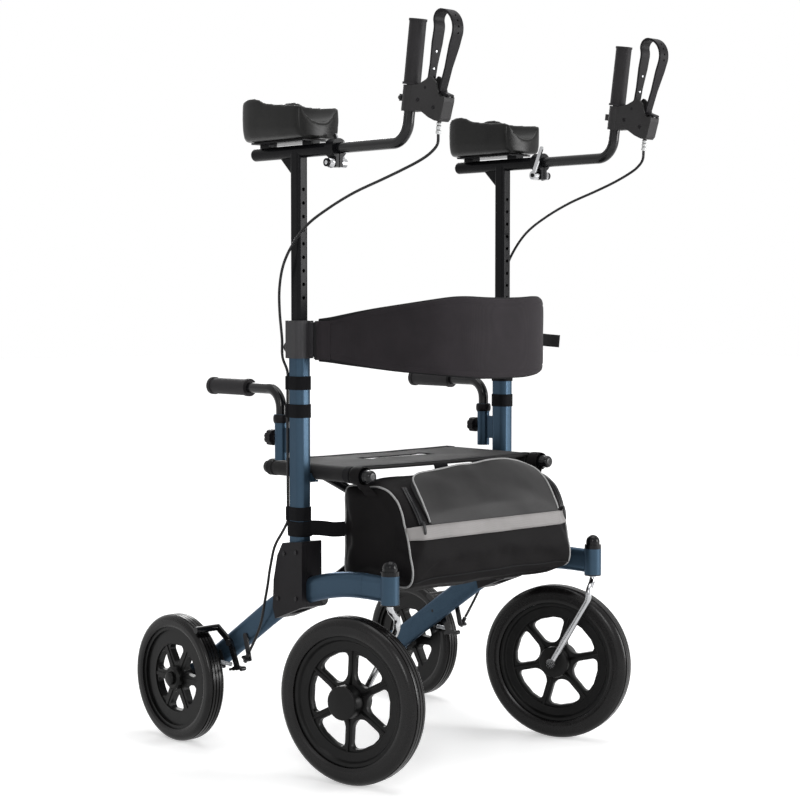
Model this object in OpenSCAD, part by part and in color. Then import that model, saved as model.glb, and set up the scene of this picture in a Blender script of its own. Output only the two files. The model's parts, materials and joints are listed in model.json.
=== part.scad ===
// Upright walker with forearm rests, a folding cross brace, a seat and a bag.
// X runs across the walker, the front faces -Y, Z is up and the wheels stand on Z = 0.
// Each side is drawn once, in a side frame whose X points outwards from the post.

/* [Frame] */
// Distance of each post from the middle plane
side_x = 270; // [262:1:282]
// Height of the oval arch tube
arch_tall = 46; // [42:1:50]
// Width of the oval arch tube
arch_wide = 26; // [24:1:28]
// Wall of the arch tube
arch_wall = 2.2; // [1.6:0.1:3]
// Slope of the straight rear leg, in degrees
leg_slope = 33.5; // [32:0.5:35]
// Straight length of the rear leg
leg_run = 270; // [262:1:278]
// Radius of the arch's bend
arch_radius = 506; // [490:2:520]
// Distance of the rear axle behind the post
axle_behind = 317; // [310:1:325]
// Distance of the caster's head tube ahead of the post
head_ahead = 250; // [242:1:262]
// Diameter of the head tube
head_d = 33; // [31:0.5:36]
// Height of the head tube
head_h = 51; // [47:1:54]
// Fore and aft depth of the post
post_deep = 38; // [36:0.5:40]
// Width of the post
post_wide = 32; // [31:0.5:33]
// Wall of the post
post_wall = 2.5; // [2:0.1:2.6]
// Height of the collar's upper edge above the floor
collar_top = 834; // [815:1:850]
// Height of the collar
collar_h = 70; // [62:1:78]
// Width of the joint cover
cover_wide = 48; // [44:1:49]

/* [Wheels] */
// Diameter of the front wheels
front_wheel_d = 305; // [296:1:310]
// Width of the front tyres
front_tyre_w = 45; // [40:1:46]
// Diameter of the rear wheels
rear_wheel_d = 250; // [240:1:256]
// Width of the rear tyres
rear_tyre_w = 40; // [36:1:42]
// Distance of the caster's axle behind its swivel axis
caster_trail = 78; // [70:1:84]
// Distance of the rear wheel's middle outside the post
rear_wheel_out = 48; // [46:1:54]
// Turn of the right caster at rest, in degrees
right_steer = 12.5; // [-20:0.5:25]
// Turn of the left caster at rest, in degrees
left_steer = 20; // [-20:0.5:25]
// Diameter of the fork's rod
fork_d = 12; // [10:0.5:13]

/* [Forearm rests] */
// Height of the arm tube's axis
arm_z = 1146; // [1100:1:1180]
// Diameter of the arm tube
arm_d = 24; // [23.5:0.1:26]
// Reach of the arm tube behind the post
arm_back = 126; // [118:1:132]
// Reach of the arm tube ahead of the post
arm_front = 115; // [110:1:120]
// Fore and aft depth of the mast
mast_deep = 26; // [24:0.5:27]
// Width of the mast
mast_wide = 24; // [22:0.5:24.5]
// Height of the mast's lower end
mast_foot = 600; // [560:1:630]
// Spacing of the mast's height holes
mast_pitch = 25; // [20:1:30]
// Length of the forearm pad
pad_len = 165; // [155:1:172]
// Width of the forearm pad
pad_wide = 104; // [96:1:108]
// Height of the forearm pad
pad_tall = 78; // [70:1:84]

/* [Hand grips] */
// Diameter of the handle tube
handle_d = 20; // [18.5:0.1:20.2]
// Distance of the handle tube's bend ahead of the post
handle_ahead = 259; // [250:1:266]
// Radius of the handle tube's bend
handle_bend = 39; // [36:1:44]
// Forward lean of the hand grip, in degrees
grip_lean = 8; // [6:0.5:11]
// Diameter of the hand grip
grip_d = 30; // [28:0.5:32]
// Length of the hand grip
grip_len = 112; // [104:1:118]
// Width of the brake lever's strap
lever_wide = 16; // [14:0.5:17]
// Thickness of the brake lever's strap
lever_thick = 4; // [3:0.2:4.6]

/* [Push handles] */
// Distance of the push handle's tube behind the post
push_behind = 54; // [50:1:60]
// Diameter of the push handle's tube
push_d = 20; // [18:0.5:21]
// Height of the push handle's upper run
push_z = 704; // [700:1:730]
// Reach of the push handle behind the post
push_reach = 266; // [250:1:275]
// Diameter of the push handle's grip
push_grip_d = 31; // [29:0.5:34]
// Length of the push handle's grip
push_grip_len = 117; // [105:1:125]

/* [Seat and brace] */
// Height of the seat rails' axes
seat_z = 551; // [540:1:560]
// Diameter of the seat rails
rail_d = 25; // [23:0.5:25.5]
// Distance of the seat rails inside the posts
rail_in = 35; // [34.5:0.5:38]
// Reach of the seat rails behind the posts
rail_back = 140; // [132:1:150]
// Reach of the seat rails ahead of the posts
rail_front = 166; // [158:1:172]
// Height of the brace's lower pivots
brace_z = 311; // [306:1:318]
// Diameter of the brace's tubes
brace_d = 18; // [16:0.5:18.5]
// Length of the seat cloth
seat_len = 238; // [225:1:245]
// Drop of the seat cloth at its middle
seat_sag = 6; // [3:0.5:8]

/* [Bag and backrest] */
// Width of the bag
bag_wide = 410; // [380:1:415]
// Depth of the bag at its foot
bag_deep = 200; // [185:1:208]
// Height of the bag
bag_tall = 190; // [175:1:193]
// Height of the backrest at its middle
back_tall = 150; // [130:1:160]
// Height of the backrest at its ends
back_end_tall = 66; // [60:1:68]
// Reach of the backrest ahead of its sockets
back_bow = 237; // [210:1:250]
// Thickness of the backrest's padding
back_thick = 15; // [10:0.5:18]

/* [Hidden] */
$fn = 48;

// Colours
frame_blue = "steelblue";
tube_black = "#1c1c1e";
plastic_black = "#262628";
cloth_black = "#2c2c2e";
bright_steel = "silver";

// Clearances and the overrun that serves all cuts
over = 2;
seat_fit = 0.2;
soft_fit = 0.3;
run_fit = 0.05;
weld_lap = 0.3;
bend_swell = 1.012;
joint_run = 2;
slide_fit = 0.1;

// Wheels and the arch that stands on the rear axle
front_r = front_wheel_d / 2;
rear_r = rear_wheel_d / 2;
arc_y = axle_behind - leg_run * cos(leg_slope);
arc_z = rear_r + leg_run * sin(leg_slope);
arch_z = arc_z + arch_radius * (1 - cos(leg_slope));
arch_front_run = arc_y - arch_radius * sin(leg_slope) + head_ahead;
arch_steps = [[leg_run, arch_radius, leg_slope, 0], [arch_front_run, 0, 0, 0]];
function arch_sine(y) = sin(leg_slope) - (arc_y - y) / arch_radius;
function arch_rise(y) = arc_z + arch_radius * (sqrt(1 - pow(arch_sine(y), 2)) - cos(leg_slope));
post_foot = arch_rise(0);
head_top = arch_z + head_h / 2;
head_foot = arch_z - head_h / 2;
axle_d = 12;
axle_head_d = 20;
axle_head_h = 6;
boss_d = arch_tall + 2 * seat_fit;
vent_d = 14;

// Caster: bushes, stem, swan-neck rod and axle
bush_bore_d = 24;
bush_h = 12;
bush_flange = 2;
stem_nut_d = 17;
stem_nut_h = 7;
dome_d = 27;
dome_wall = 3;
dome_h = 25;
dome_base_h = 6;
swan_bend = 16;
swan_turn = 50;
rod_gap = 2.6;
caster_out = 9;
rod_in = front_tyre_w / 2 - caster_out + rod_gap + fork_d / 2;
swan_drop = 2;
swan_run = (rod_in - 2 * swan_bend * (1 - cos(swan_turn))) / sin(swan_turn);
swan_top = head_foot - bush_flange - swan_drop;
swan_foot = swan_top - 2 * swan_bend * sin(swan_turn) - swan_run * cos(swan_turn) - joint_run;
leg_bend = 30;
leg_fall = swan_foot - front_r;
leg_span = norm([caster_trail - leg_bend, leg_fall]);
leg_rod = sqrt(pow(leg_span, 2) - pow(leg_bend, 2));
leg_lean = atan2(caster_trail - leg_bend, leg_fall) + asin(leg_bend / leg_span);
stem_top = head_top + bush_flange + stem_nut_h;
fork_steps = [
    [stem_top - swan_top, swan_bend, swan_turn, 180],
    [swan_run, swan_bend, swan_turn, 180],
    [joint_run, leg_bend, leg_lean, -90],
    [leg_rod, 0, 0, 0]
];
front_axle_d = 10;
fork_eye_d = 19;
front_nut_d = 15;
front_nut_h = 6;

// Shapes of the wheels, as sizes from the tread inwards
front_tyre_deep = 40;
rear_tyre_deep = 28;
tyre_round_share = 0.4;
tread_groove_w = 2.4;
tread_groove_deep = 2;
tread_groove_shares = [-0.27, -0.09, 0.09, 0.27];
front_ring_r = 90;
rear_ring_r = 68;
ring_thick = 19;
rim_lip = 7;
rim_gap = 0.1;
rim_share = 0.36;
web_thick = 14;
spokes = 6;
spoke_w = 17;
window_share = 0.22;
window_margin = 5;
front_hub_d = 62;
rear_hub_d = 46;
hub_over = 1;
hub_chamfer = 4;
hub_rib = 6;
rib_thick = 17;
nut_room = 3;
cup_deep = front_nut_h + nut_room / 2;
corner_steps = 8;

// Post, its saddle for the rail and its bracket for the push handle
post_round = 12;
post_top = collar_top - 12;
saddle_len = 24;
saddle_thick = 4;
saddle_rise = 2;
bracket_d = 25;
bracket_foot = 571;
bracket_top = 640;
sleeve_d = 27;
sleeve_h = 17;
bracket_plate = 6;
bracket_plate_h = 46;
bracket_plate_drop = 8;

// Joint cover: side outline in shares of its depth and height, from its front upper corner
cover_front = 34;
cover_deep = 86;
cover_top = 425;
cover_h = 131;
cover_shares = [[0, 0], [0.66, 0.05], [0.84, 0.24], [0.97, 0.6], [1, 1], [0.92, 1.16], [0, 0.93]];
cover_seam = 0.4;
ear_thick = 4;
ear_round = 11;
brace_sleeve_d = 20;
brace_sleeve_len = 46;
brace_pin_d = 10;
cover_screw_d = 8;
cover_screw_h = 2;
cover_screw_shares = [[0.2, 0.16], [0.6, 0.2], [0.2, 0.82], [0.82, 0.86]];

// Collar, its knob and its socket for the backrest
collar_deep = 45;
collar_wide = 42;
collar_round = 11;
socket_out = 12;
socket_in = 18;
socket_h = 64;
tongue_thick = 4.4;
tongue_in = 13;
knob_drop = 50;
knob_stem_d = 8;
height_knob_d = 24;
height_knob_h = 15;
knob_gap = 0.4;

// Bands that hold the cable: drops below the collar, rise above the cover, and size
band_top_drop = 46;
band_mid_drop = 98;
band_foot_rise = 49;
band_heights = [
    collar_top - collar_h - band_top_drop,
    collar_top - collar_h - band_mid_drop,
    cover_top + band_foot_rise
];
band_h = 25;
band_thick = 1.8;

// Mast: glide, clamp, gusset, pad plate
mast_round = 6;
mast_wall = 2;
glide_h = 40;
hole_d = 7;
holes = 9;
hole_top = 70;
gusset_long = 36;
gusset_thick = 5;
clamp_d = 36;
clamp_long = 22;
clamp_slit = 2;
clamp_ear_wide = 16;
clamp_ear_h = 16;
clamp_bolt_d = 8;
clamp_bolt_long = 46;
clamp_nut_d = 15;
clamp_nut_long = 13;
clamp_bolt_out = 1.5;
clamp_bolt_z = arm_z - clamp_d / 2 - clamp_ear_h / 2;
cap_round = 4;
pad_plate_wide = 62;
pad_plate_len = 150;
pad_plate_thick = 3;
pad_rise = 4.5;
pad_block_wide = 20;
pad_block_len = 26;
pad_middle = 27;
lever_disc_d = 17;
lever_disc_h = 14;
lever_arm_w = 8;
lever_arm_len = 57;
lever_arm_thick = 3.5;
right_arm_turn = -25;
left_arm_turn = 24;

// Forearm pad: skins across it and wing heights along it, from the rear
pad_skin_shares = [[1, 1], [1.02, 0.62], [0.99, 0.3], [0.9, 0.1], [0.74, 0.02], [0.36, 0]];
pad_trough_shares = [[0.84, 1], [0.77, 0.7], [0.63, 0.38], [0.43, 0.14], [0.2, 0.02]];
pad_run_shares = [0, 0.02, 0.06, 0.14, 0.24, 0.32, 0.4, 0.55, 0.66, 0.74, 0.82, 0.9, 0.96, 1];
pad_taper_shares = [0.84, 0.9, 0.95, 0.99, 1, 1, 1, 1, 1, 0.99, 0.98, 0.97, 0.96, 0.93];
wing_shares = [0.88, 0.94, 0.98, 1, 1, 0.96, 0.88, 0.83, 0.8, 0.785, 0.77, 0.755, 0.745, 0.73];
pad_floor = 30;
pad_lip = 2;
pad_z = arm_z + arm_d / 2 + pad_rise + pad_plate_thick + soft_fit;

// Handle tube and the pieces on it, measured along the leaning grip
handle_wall = 2;
handle_inside = 20;
grip_turn = 90 - grip_lean;
grip_y = -handle_ahead - handle_bend * sin(grip_turn);
grip_z = arm_z + handle_bend * (1 - cos(grip_turn));
housing_foot = 19;
housing_h = 45;
housing_ring_d = 30;
lug_block = 12;
lug_bolt_d = 7;
grip_foot = 65;
grip_end = 3;
grip_flange_d = grip_d + 4;
grip_flange_h = 4;
handle_steps = [
    [handle_ahead - handle_inside, handle_bend, grip_turn, 180],
    [grip_foot + grip_len - grip_end, 0, 0, 0]
];

// Brake housing: side outline in shares of its reach and height, from the grip's axis
housing_reach = 96;
housing_tall = 78;
housing_wide = 24;
housing_low = 5;
housing_shares = [[0.06, 0.18], [0.06, 0.75], [0.3, 0.79], [0.48, 0.91], [0.56, 1], [0.6, 0.99], [0.75, 0.86],
    [0.83, 0.62], [0.89, 0.56], [0.98, 0.59], [1, 0.56], [1, 0.47], [0.95, 0.1], [0.9, 0.03], [0.79, 0.04],
    [0.62, 0.1], [0.41, 0.22]];
lever_slot = lever_wide + 1.6;
lever_hub_d = 15;
lever_pivot_d = 6;
lever_pivot_ahead = 46;
lever_pivot_up = 62;
lever_run = 98;
lever_back_bend = 30;
lever_back_turn = 24;
lever_top_bend = 15;
lever_front_bend = 33;
lever_front_turn = 98;
lever_front_run = 99;
lever_toe_len = 21;
lever_toe_drop = 3;
lever_lean = 5;
lever_top_wide = 23;
lever_flare_low = 40;
lever_flare_high = 98;
lever_hole_d = 4;
lever_hole_turns = [38, 56, 74, 92];
lever_steps = [
    [lever_run, lever_back_bend, lever_back_turn, 180],
    [joint_run, lever_top_bend, 90 + lever_back_turn, 180],
    [joint_run, lever_front_bend, lever_front_turn, 0],
    [lever_front_run, 0, 0, 0]
];
barrel_d = 7.5;
barrel_h = 18;
barrel_ahead = 77;
function grip_point(y, z) =
    [0, grip_y + y * cos(grip_lean) - z * sin(grip_lean), grip_z + y * sin(grip_lean) + z * cos(grip_lean)];

// Reach of the brake lever ahead of the post, which sets the middle of the whole walker
lever_reach = 430;
post_y = (lever_reach - axle_behind - rear_r) / 2;

// Push handle
push_wall = 2;
push_bend = 36;
push_foot = 578;
push_grip_wall = (push_grip_d - push_d) / 2;
push_flare = 3;
push_flare_h = 8;
push_knob_d = 30;
push_knob_h = 15;
push_knob_z = 612;
push_knob_lobes = 8;
push_knob_neck = 6;

// Brake at the rear wheel
brake_run = 148;
brake_y = axle_behind - brake_run * cos(leg_slope);
brake_z = rear_r + brake_run * sin(leg_slope);
brake_thick = 5;
brake_bar_w = 12;
brake_bolt_d = 7;
brake_head_d = 13;
brake_head_h = 4;
shoe_d = 13;
shoe_gap = 3.4;
shoe_turn = 38;
shoe_r = rear_r + shoe_gap + shoe_d / 2;
shoe_y = axle_behind - shoe_r * sin(shoe_turn);
shoe_z = rear_r + shoe_r * cos(shoe_turn);
shoe_over = 2;
arm_x = arch_wide / 2 + soft_fit;
foot_y = brake_y - 21;
foot_z = brake_z - 46;
lug_y = foot_y - 22;
lug_z = foot_z + 1;
lug_w = 9;
lug_bar_w = 7.5;
lug_long = 6;
stop_y = lug_y - 14;
stop_z = lug_z + 22;
stop_turn = atan2(lug_y - stop_y, stop_z - lug_z);
stop_thick = 4;
stop_wide = 14;
stop_tab = 12;
adjuster_d = 8;
adjuster_up = 14;
adjuster_down = 8;
wire_d = 1.8;
lane_x = arm_x + brake_thick + lug_long / 2;

// Return spring between the brake arm's foot and a pin on the leg
spring_d = 8;
spring_wire = 1.5;
spring_curls = 13;
spring_pitch = 2.6;
spring_pin_d = 5;
spring_x = arm_x + brake_thick + spring_d / 2 + soft_fit;
spring_start = 10;
spring_len = spring_curls * spring_pitch;
spring_sides = 6;
spring_rings = 8;

// Brake cable: route in the side frame from the lever to the adjuster, chosen by hand
cable_d = 5;
cable_sides = 8;
cable_rings = 76;
lane_corner = (post_round + cable_d / 2 + soft_fit) * sqrt(0.5);
lane_post = [post_wide / 2 - post_round + lane_corner, post_deep / 2 - post_round + lane_corner];
cable_route = [
    grip_point(-barrel_ahead, housing_low - barrel_h - soft_fit), [0, -370, 1138], [2, -355, 1124],
    [4, -330, 1112], [8, -290, 1098], [11, -240, 1083],
    [14, -170, 1063], [17, -105, 1038], [19, -50, 1010], [20, -12, 976], [21, 14, 938], [21, 26, 895],
    [21, 27, 850], [21, 24, 800], [21, 24, 766], [lane_post[0], lane_post[1], 738],
    [lane_post[0], lane_post[1], 700], [lane_post[0], lane_post[1], 640], [lane_post[0], lane_post[1], 560],
    [lane_post[0], lane_post[1], 490], [lane_post[0], lane_post[1], 462], [18, 28, 440], [25, 44, 410],
    [28, 54, 370], [28, 62, 335], [26, 74, 300], [23, 88, 262], [lane_x, 106, 230]
];

// Seat, brace and their sleeves
rail_x = side_x - rail_in;
cloth_thick = 2.2;
cloth_grip = rail_d + 2 * soft_fit;
cloth_d = cloth_grip + 2 * cloth_thick;
seat_front = 112;
slot_long = 182;
slot_wide = 24;
slot_y = 30;
seat_steps = 16;
rail_cap = 8;
rail_knob_d = 24;
rail_knob_long = 14;
brace_gap = 2;
brace_y = (brace_d + brace_gap) / 2;
brace_rise = seat_z - brace_z;
brace_turn = atan2(brace_rise, 2 * rail_x);
brace_len = norm([brace_rise, 2 * rail_x]);
pivot_d = 8;
pivot_head_d = 15;
pivot_head_h = 4;

// Bag: side outline in shares of its depth and height, from its rear foot
bag_front = 48;
bag_foot = 345;
bag_shares = [[0.02, 0.02], [0, 0.1], [0, 0.5], [0, 0.9], [0.03, 0.98], [0.08, 1], [0.25, 1.01], [0.42, 1],
    [0.5, 0.97], [0.6, 0.9], [0.74, 0.77], [0.86, 0.6], [0.93, 0.42], [0.98, 0.22], [1, 0.1], [0.97, 0.02],
    [0.9, 0], [0.5, -0.01]];
bag_end_shares = [[-1, 0.93], [-0.985, 0.98], [-0.95, 1], [-0.5, 1.015], [0, 1.02], [0.5, 1.015], [0.95, 1],
    [0.985, 0.98], [1, 0.93]];
loop_thick = 2;
loop_wide = 24;
loop_y = 138;
loop_drop = 22;

// Backrest: half thickness outline round its section, and its run from side to side
back_z = collar_top - collar_h / 2;
back_end_thick = 7;
back_steps = 28;
back_curve_share = 3.2;
back_level_share = 0.34;
back_run_share = 0.4;
back_round_shares = [[-1, 0.3], [-0.97, 0.72], [-0.9, 1], [0.9, 1], [0.97, 0.72], [1, 0.3],
    [1, -0.3], [0.97, -0.72], [0.9, -1], [-0.9, -1], [-0.97, -0.72], [-1, -0.3]];
back_start_y = -collar_deep / 2 - socket_out / 2;
back_end_x = side_x - collar_wide / 2 - 4;

// Plain shapes
module stadium(long, wide) {
    square([long - wide, wide], center = true);
    for (s = [-1, 1])
        translate([s * (long - wide) / 2, 0])
            circle(d = wide);
}

module soft_rect(x, y, r) {
    square([x - 2 * r, y], center = true);
    square([x, y - 2 * r], center = true);
    for (sx = [-1, 1], sy = [-1, 1])
        translate([sx * (x / 2 - r), sy * (y / 2 - r)])
            circle(r);
}

module ring_section(od, wall) {
    difference() {
        circle(d = od);
        circle(d = od - 2 * wall);
    }
}

// Points round an outline's corner centres
function normal_at(c, i) = let (d = c[(i + 1) % len(c)] - c[i]) atan2(d[1], d[0]) - 90;
function rounded(c, r) = [
    for (i = [0:len(c) - 1])
        let (a = normal_at(c, (i + len(c) - 1) % len(c)), sweep = (normal_at(c, i) - a + 720) % 360)
        for (k = [0:corner_steps])
            c[i] + r * [cos(a + sweep * k / corner_steps), sin(a + sweep * k / corner_steps)]
];

// A flat bar with round ends between two points of the side view
module bar(p, q, w) {
    polygon(rounded([p, q], w / 2));
}

// A side view outline given depth along X
module side_plate(x, thick) {
    translate([x, 0, 0])
        rotate([90, 0, 90])
            linear_extrude(thick)
                children();
}

module across(x, y, z, d, long) {
    translate([x, y, z])
        rotate([0, 90, 0])
            cylinder(d = d, h = long);
}

module rearward(x, y, z, d, long) {
    translate([x, y, z])
        rotate([-90, 0, 0])
            cylinder(d = d, h = long);
}

// A section carried along runs and bends: each step is run, bend radius, turn and roll
module swept(steps, k = 0) {
    run = steps[k][0];
    radius = steps[k][1];
    turn = steps[k][2];
    before = k > 0 ? weld_lap : 0;
    after = turn > 0 ? weld_lap : 0;
    rotate([0, 0, steps[k][3]]) {
        translate([0, 0, -before])
            linear_extrude(run + before + after)
                children();
        translate([0, 0, run]) {
            if (turn > 0)
                translate([radius, 0, 0])
                    rotate(180, [0, 1, 1])
                        rotate_extrude(angle = turn)
                            translate([radius, 0])
                                mirror([1, 0])
                                    scale(bend_swell)
                                        children();
            if (k + 1 < len(steps))
                translate([radius, 0, 0])
                    rotate([0, turn, 0])
                        translate([-radius, 0, 0])
                            swept(steps, k + 1)
                                children();
        }
    }
}

// Turns a sweep so that it runs forwards at a slope, with its bends downwards
module forwards(slope) {
    rotate([90 - slope, 0, 0])
        rotate([0, 0, -90])
            children();
}

// Smooth curve through a list of points, and a tube along points with one reference direction
function unit(v) = v / norm(v);
function spline(a, b, c, d, t) =
    0.5 * (2 * b + (c - a) * t + (2 * a - 5 * b + 4 * c - d) * t * t + (3 * b - a - 3 * c + d) * t * t * t);
function along(p, s) =
    let (n = len(p) - 1, k = min(floor(s * n), n - 1), t = s * n - k)
    spline(p[max(k - 1, 0)], p[k], p[k + 1], p[min(k + 2, n)], t);
function tangents(p) = [for (i = [0:len(p) - 1]) unit(p[min(i + 1, len(p) - 1)] - p[max(i - 1, 0)])];

module tube_along(p, d, sides, reference) {
    n = len(p);
    t = tangents(p);
    points = [
        for (i = [0:n - 1])
            let (u = unit(cross(t[i], reference)), v = cross(t[i], u))
            for (j = [0:sides - 1])
                p[i] + d / 2 * (u * cos(360 * j / sides) + v * sin(360 * j / sides))
    ];
    skin = [
        for (i = [0:n - 2], j = [0:sides - 1])
            let (a = i * sides + j, b = i * sides + (j + 1) % sides)
            for (f = [[a, a + sides, b], [b, a + sides, b + sides]])
                f
    ];
    foot = [for (j = [1:sides - 2]) [0, j, j + 1]];
    head = [for (j = [1:sides - 2]) [(n - 1) * sides, (n - 1) * sides + j + 1, (n - 1) * sides + j]];
    polyhedron(points, [for (f = concat(skin, foot, head)) [f[0], f[2], f[1]]]);
}

// A skin over sections of equal length, closed at both ends
module loft(sections) {
    m = len(sections[0]);
    n = len(sections);
    points = [for (s = sections) each s];
    skin = [
        for (i = [0:n - 2], j = [0:m - 1])
            let (a = i * m + j, b = i * m + (j + 1) % m)
            for (f = [[a, b, a + m], [b, b + m, a + m]])
                f
    ];
    foot = [for (j = [m - 1:-1:0]) j];
    head = [for (j = [0:m - 1]) (n - 1) * m + j];
    polyhedron(points, concat(skin, [foot, head]));
}

// Places of the sides and of the frames that pieces share
module left_side() {
    translate([side_x, post_y, 0])
        children();
}

module right_side() {
    mirror([1, 0, 0])
        left_side()
            children();
}

module steered(angle) {
    translate([0, -head_ahead, 0])
        rotate([0, 0, angle])
            children();
}

module on_front_axle() {
    translate([caster_out, caster_trail, front_r])
        rotate([0, 90, 0])
            children();
}

module on_rear_axle() {
    translate([rear_wheel_out, axle_behind, rear_r])
        rotate([0, 90, 0])
            children();
}

module on_grip() {
    translate([0, grip_y, grip_z])
        rotate([grip_lean, 0, 0])
            children();
}

module on_stop() {
    translate([lane_x, stop_y, stop_z])
        rotate([stop_turn, 0, 0])
            children();
}

// Frame
module arch_form(grow, wall = 0) {
    translate([0, axle_behind, rear_r])
        forwards(leg_slope)
            swept(arch_steps)
                difference() {
                    stadium(arch_tall + 2 * grow, arch_wide + 2 * grow);
                    if (wall > 0)
                        stadium(arch_tall - 2 * wall, arch_wide - 2 * wall);
                }
}

module base_arch() {
    color(frame_blue)
        difference() {
            union() {
                arch_form(0, arch_wall);
                translate([0, -head_ahead, head_foot])
                    cylinder(d = head_d, h = head_h);
                across(-arch_wide / 2 + arch_wall / 2, axle_behind, rear_r, boss_d, arch_wide - arch_wall);
                across(-arch_wide / 2 + arch_wall / 2, brake_y, brake_z, brake_head_d, arch_wide - arch_wall);
            }
            rearward(0, -head_ahead, arch_z, vent_d, head_d);
            translate([0, -head_ahead, head_foot - over])
                cylinder(d = bush_bore_d, h = head_h + 2 * over);
            across(-arch_wide, axle_behind, rear_r, axle_d, 2 * arch_wide);
            across(-arch_wide, brake_y, brake_z, brake_bolt_d, 2 * arch_wide);
        }
}

module post() {
    color(frame_blue)
        difference() {
            union() {
                translate([0, 0, post_foot])
                    linear_extrude(post_top - post_foot)
                        soft_rect(post_wide, post_deep, post_round);
                rail_saddle();
                push_bracket();
            }
            translate([0, 0, post_foot - over])
                linear_extrude(post_top - post_foot + 2 * over)
                    soft_rect(post_wide - 2 * post_wall, post_deep - 2 * post_wall, post_round - post_wall);
            arch_form(seat_fit);
            rearward(0, 0, collar_top - knob_drop, knob_stem_d + 2 * seat_fit, post_deep);
            translate([0, push_behind, bracket_foot - over])
                cylinder(d = push_d + 2 * slide_fit, h = bracket_top + sleeve_h - bracket_foot + 2 * over);
            rearward(0, push_behind, push_knob_z, knob_stem_d + 2 * seat_fit, bracket_d);
            rearward(-rail_in, -post_deep, seat_z, cloth_d + 2 * soft_fit, 2 * post_deep);
        }
}

module rail_saddle() {
    reach = rail_in - post_wide / 2 + post_wall / 2;
    drop = cloth_d / 2 + saddle_thick;
    translate([-rail_in, -saddle_len / 2, seat_z - drop])
        cube([reach, saddle_len, drop - saddle_rise]);
}

module push_bracket() {
    translate([0, push_behind, bracket_foot]) {
        cylinder(d = bracket_d, h = bracket_top - bracket_foot);
        translate([0, 0, bracket_top - bracket_foot])
            cylinder(d = sleeve_d, h = sleeve_h);
    }
    plate_y = post_deep / 2 - post_wall / 2;
    translate([-bracket_plate / 2, plate_y, bracket_top - bracket_plate_drop - bracket_plate_h])
        cube([bracket_plate, push_behind - plate_y, bracket_plate_h]);
}

module joint_cover() {
    color(plastic_black)
        difference() {
            union() {
                side_plate(-cover_wide / 2, cover_wide)
                    polygon([
                        for (s = cover_shares) [s[0] * cover_deep - cover_front, cover_top - s[1] * cover_h]
                    ]);
                for (s = [-1, 1])
                    brace_ear(s);
            }
            arch_form(seat_fit);
            translate([0, 0, post_foot - arch_tall])
                linear_extrude(cover_top)
                    soft_rect(post_wide + 2 * seat_fit, post_deep + 2 * seat_fit, post_round);
            rearward(-rail_in, -cover_deep, brace_z, brace_pin_d, 2 * cover_deep);
            translate([cover_wide / 2 - cover_wide / 4, -cover_deep, 0])
                cube([cover_seam, 2 * cover_deep, cover_top + over]);
        }
}

module brace_ear(s) {
    y = s * (brace_sleeve_len / 2 + seat_fit + ear_thick / 2);
    translate([0, y + ear_thick / 2, 0])
        rotate([90, 0, 0])
            linear_extrude(ear_thick)
                difference() {
                    bar([-rail_in, brace_z], [-cover_wide / 2 + ear_thick, brace_z], 2 * ear_round);
                    translate([-cover_wide / 2 + ear_thick, brace_z - ear_round])
                        square(2 * ear_round);
                }
}

module collar() {
    color(plastic_black)
        difference() {
            union() {
                translate([0, 0, collar_top - collar_h])
                    linear_extrude(collar_h)
                        soft_rect(collar_wide, collar_deep, collar_round);
                translate([-collar_wide / 2, -collar_deep / 2 - socket_out, back_z - socket_h / 2])
                    cube([socket_in, socket_out + collar_round, socket_h]);
            }
            translate([0, 0, collar_top - collar_h - over])
                linear_extrude(post_top - collar_top + collar_h + over)
                    soft_rect(post_wide + 2 * seat_fit, post_deep + 2 * seat_fit, post_round + seat_fit);
            translate([0, 0, collar_top - collar_h])
                linear_extrude(collar_h + over)
                    soft_rect(mast_wide + 2 * slide_fit, mast_deep + 2 * slide_fit, mast_round + slide_fit);
            rearward(0, 0, collar_top - knob_drop, knob_stem_d + 2 * seat_fit, collar_deep);
            translate([-collar_wide / 2 - over, back_start_y - tongue_thick / 2 - soft_fit,
                    back_z - back_end_tall / 2])
                cube([tongue_in + over + soft_fit, tongue_thick + 2 * soft_fit, back_end_tall + soft_fit]);
        }
}

module head_set() {
    color(plastic_black) {
        for (s = [-1, 1])
            translate([0, -head_ahead, arch_z])
                mirror([0, 0, s < 0 ? 1 : 0])
                    difference() {
                        union() {
                            translate([0, 0, head_h / 2 - bush_h])
                                cylinder(d = bush_bore_d, h = bush_h);
                            translate([0, 0, head_h / 2])
                                cylinder(d = head_d, h = bush_flange);
                        }
                        cylinder(d = fork_d + 2 * run_fit, h = head_h);
                    }
        translate([0, -head_ahead, head_top + bush_flange])
            dome_cap();
    }
}

module dome_cap() {
    rotate_extrude()
        intersection() {
            difference() {
                union() {
                    square([head_d / 2, dome_base_h]);
                    square([dome_d / 2, dome_h - dome_d / 2]);
                    translate([0, dome_h - dome_d / 2])
                        circle(d = dome_d);
                }
                square([dome_d / 2 - dome_wall, dome_h - dome_d / 2]);
                translate([0, dome_h - dome_d / 2])
                    circle(d = dome_d - 2 * dome_wall);
            }
            square([head_d, dome_h]);
        }
}

module cable_bands() {
    color(cloth_black)
        for (z = band_heights)
            translate([0, 0, z - band_h / 2])
                linear_extrude(band_h)
                    difference() {
                        union() {
                            soft_rect(post_wide + 2 * band_thick, post_deep + 2 * band_thick,
                                post_round + band_thick);
                            translate(lane_post)
                                circle(d = cable_d + 2 * band_thick);
                        }
                        soft_rect(post_wide + 2 * seat_fit, post_deep + 2 * seat_fit, post_round + seat_fit);
                        translate(lane_post)
                            circle(d = cable_d + 2 * soft_fit);
                    }
}

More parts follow.
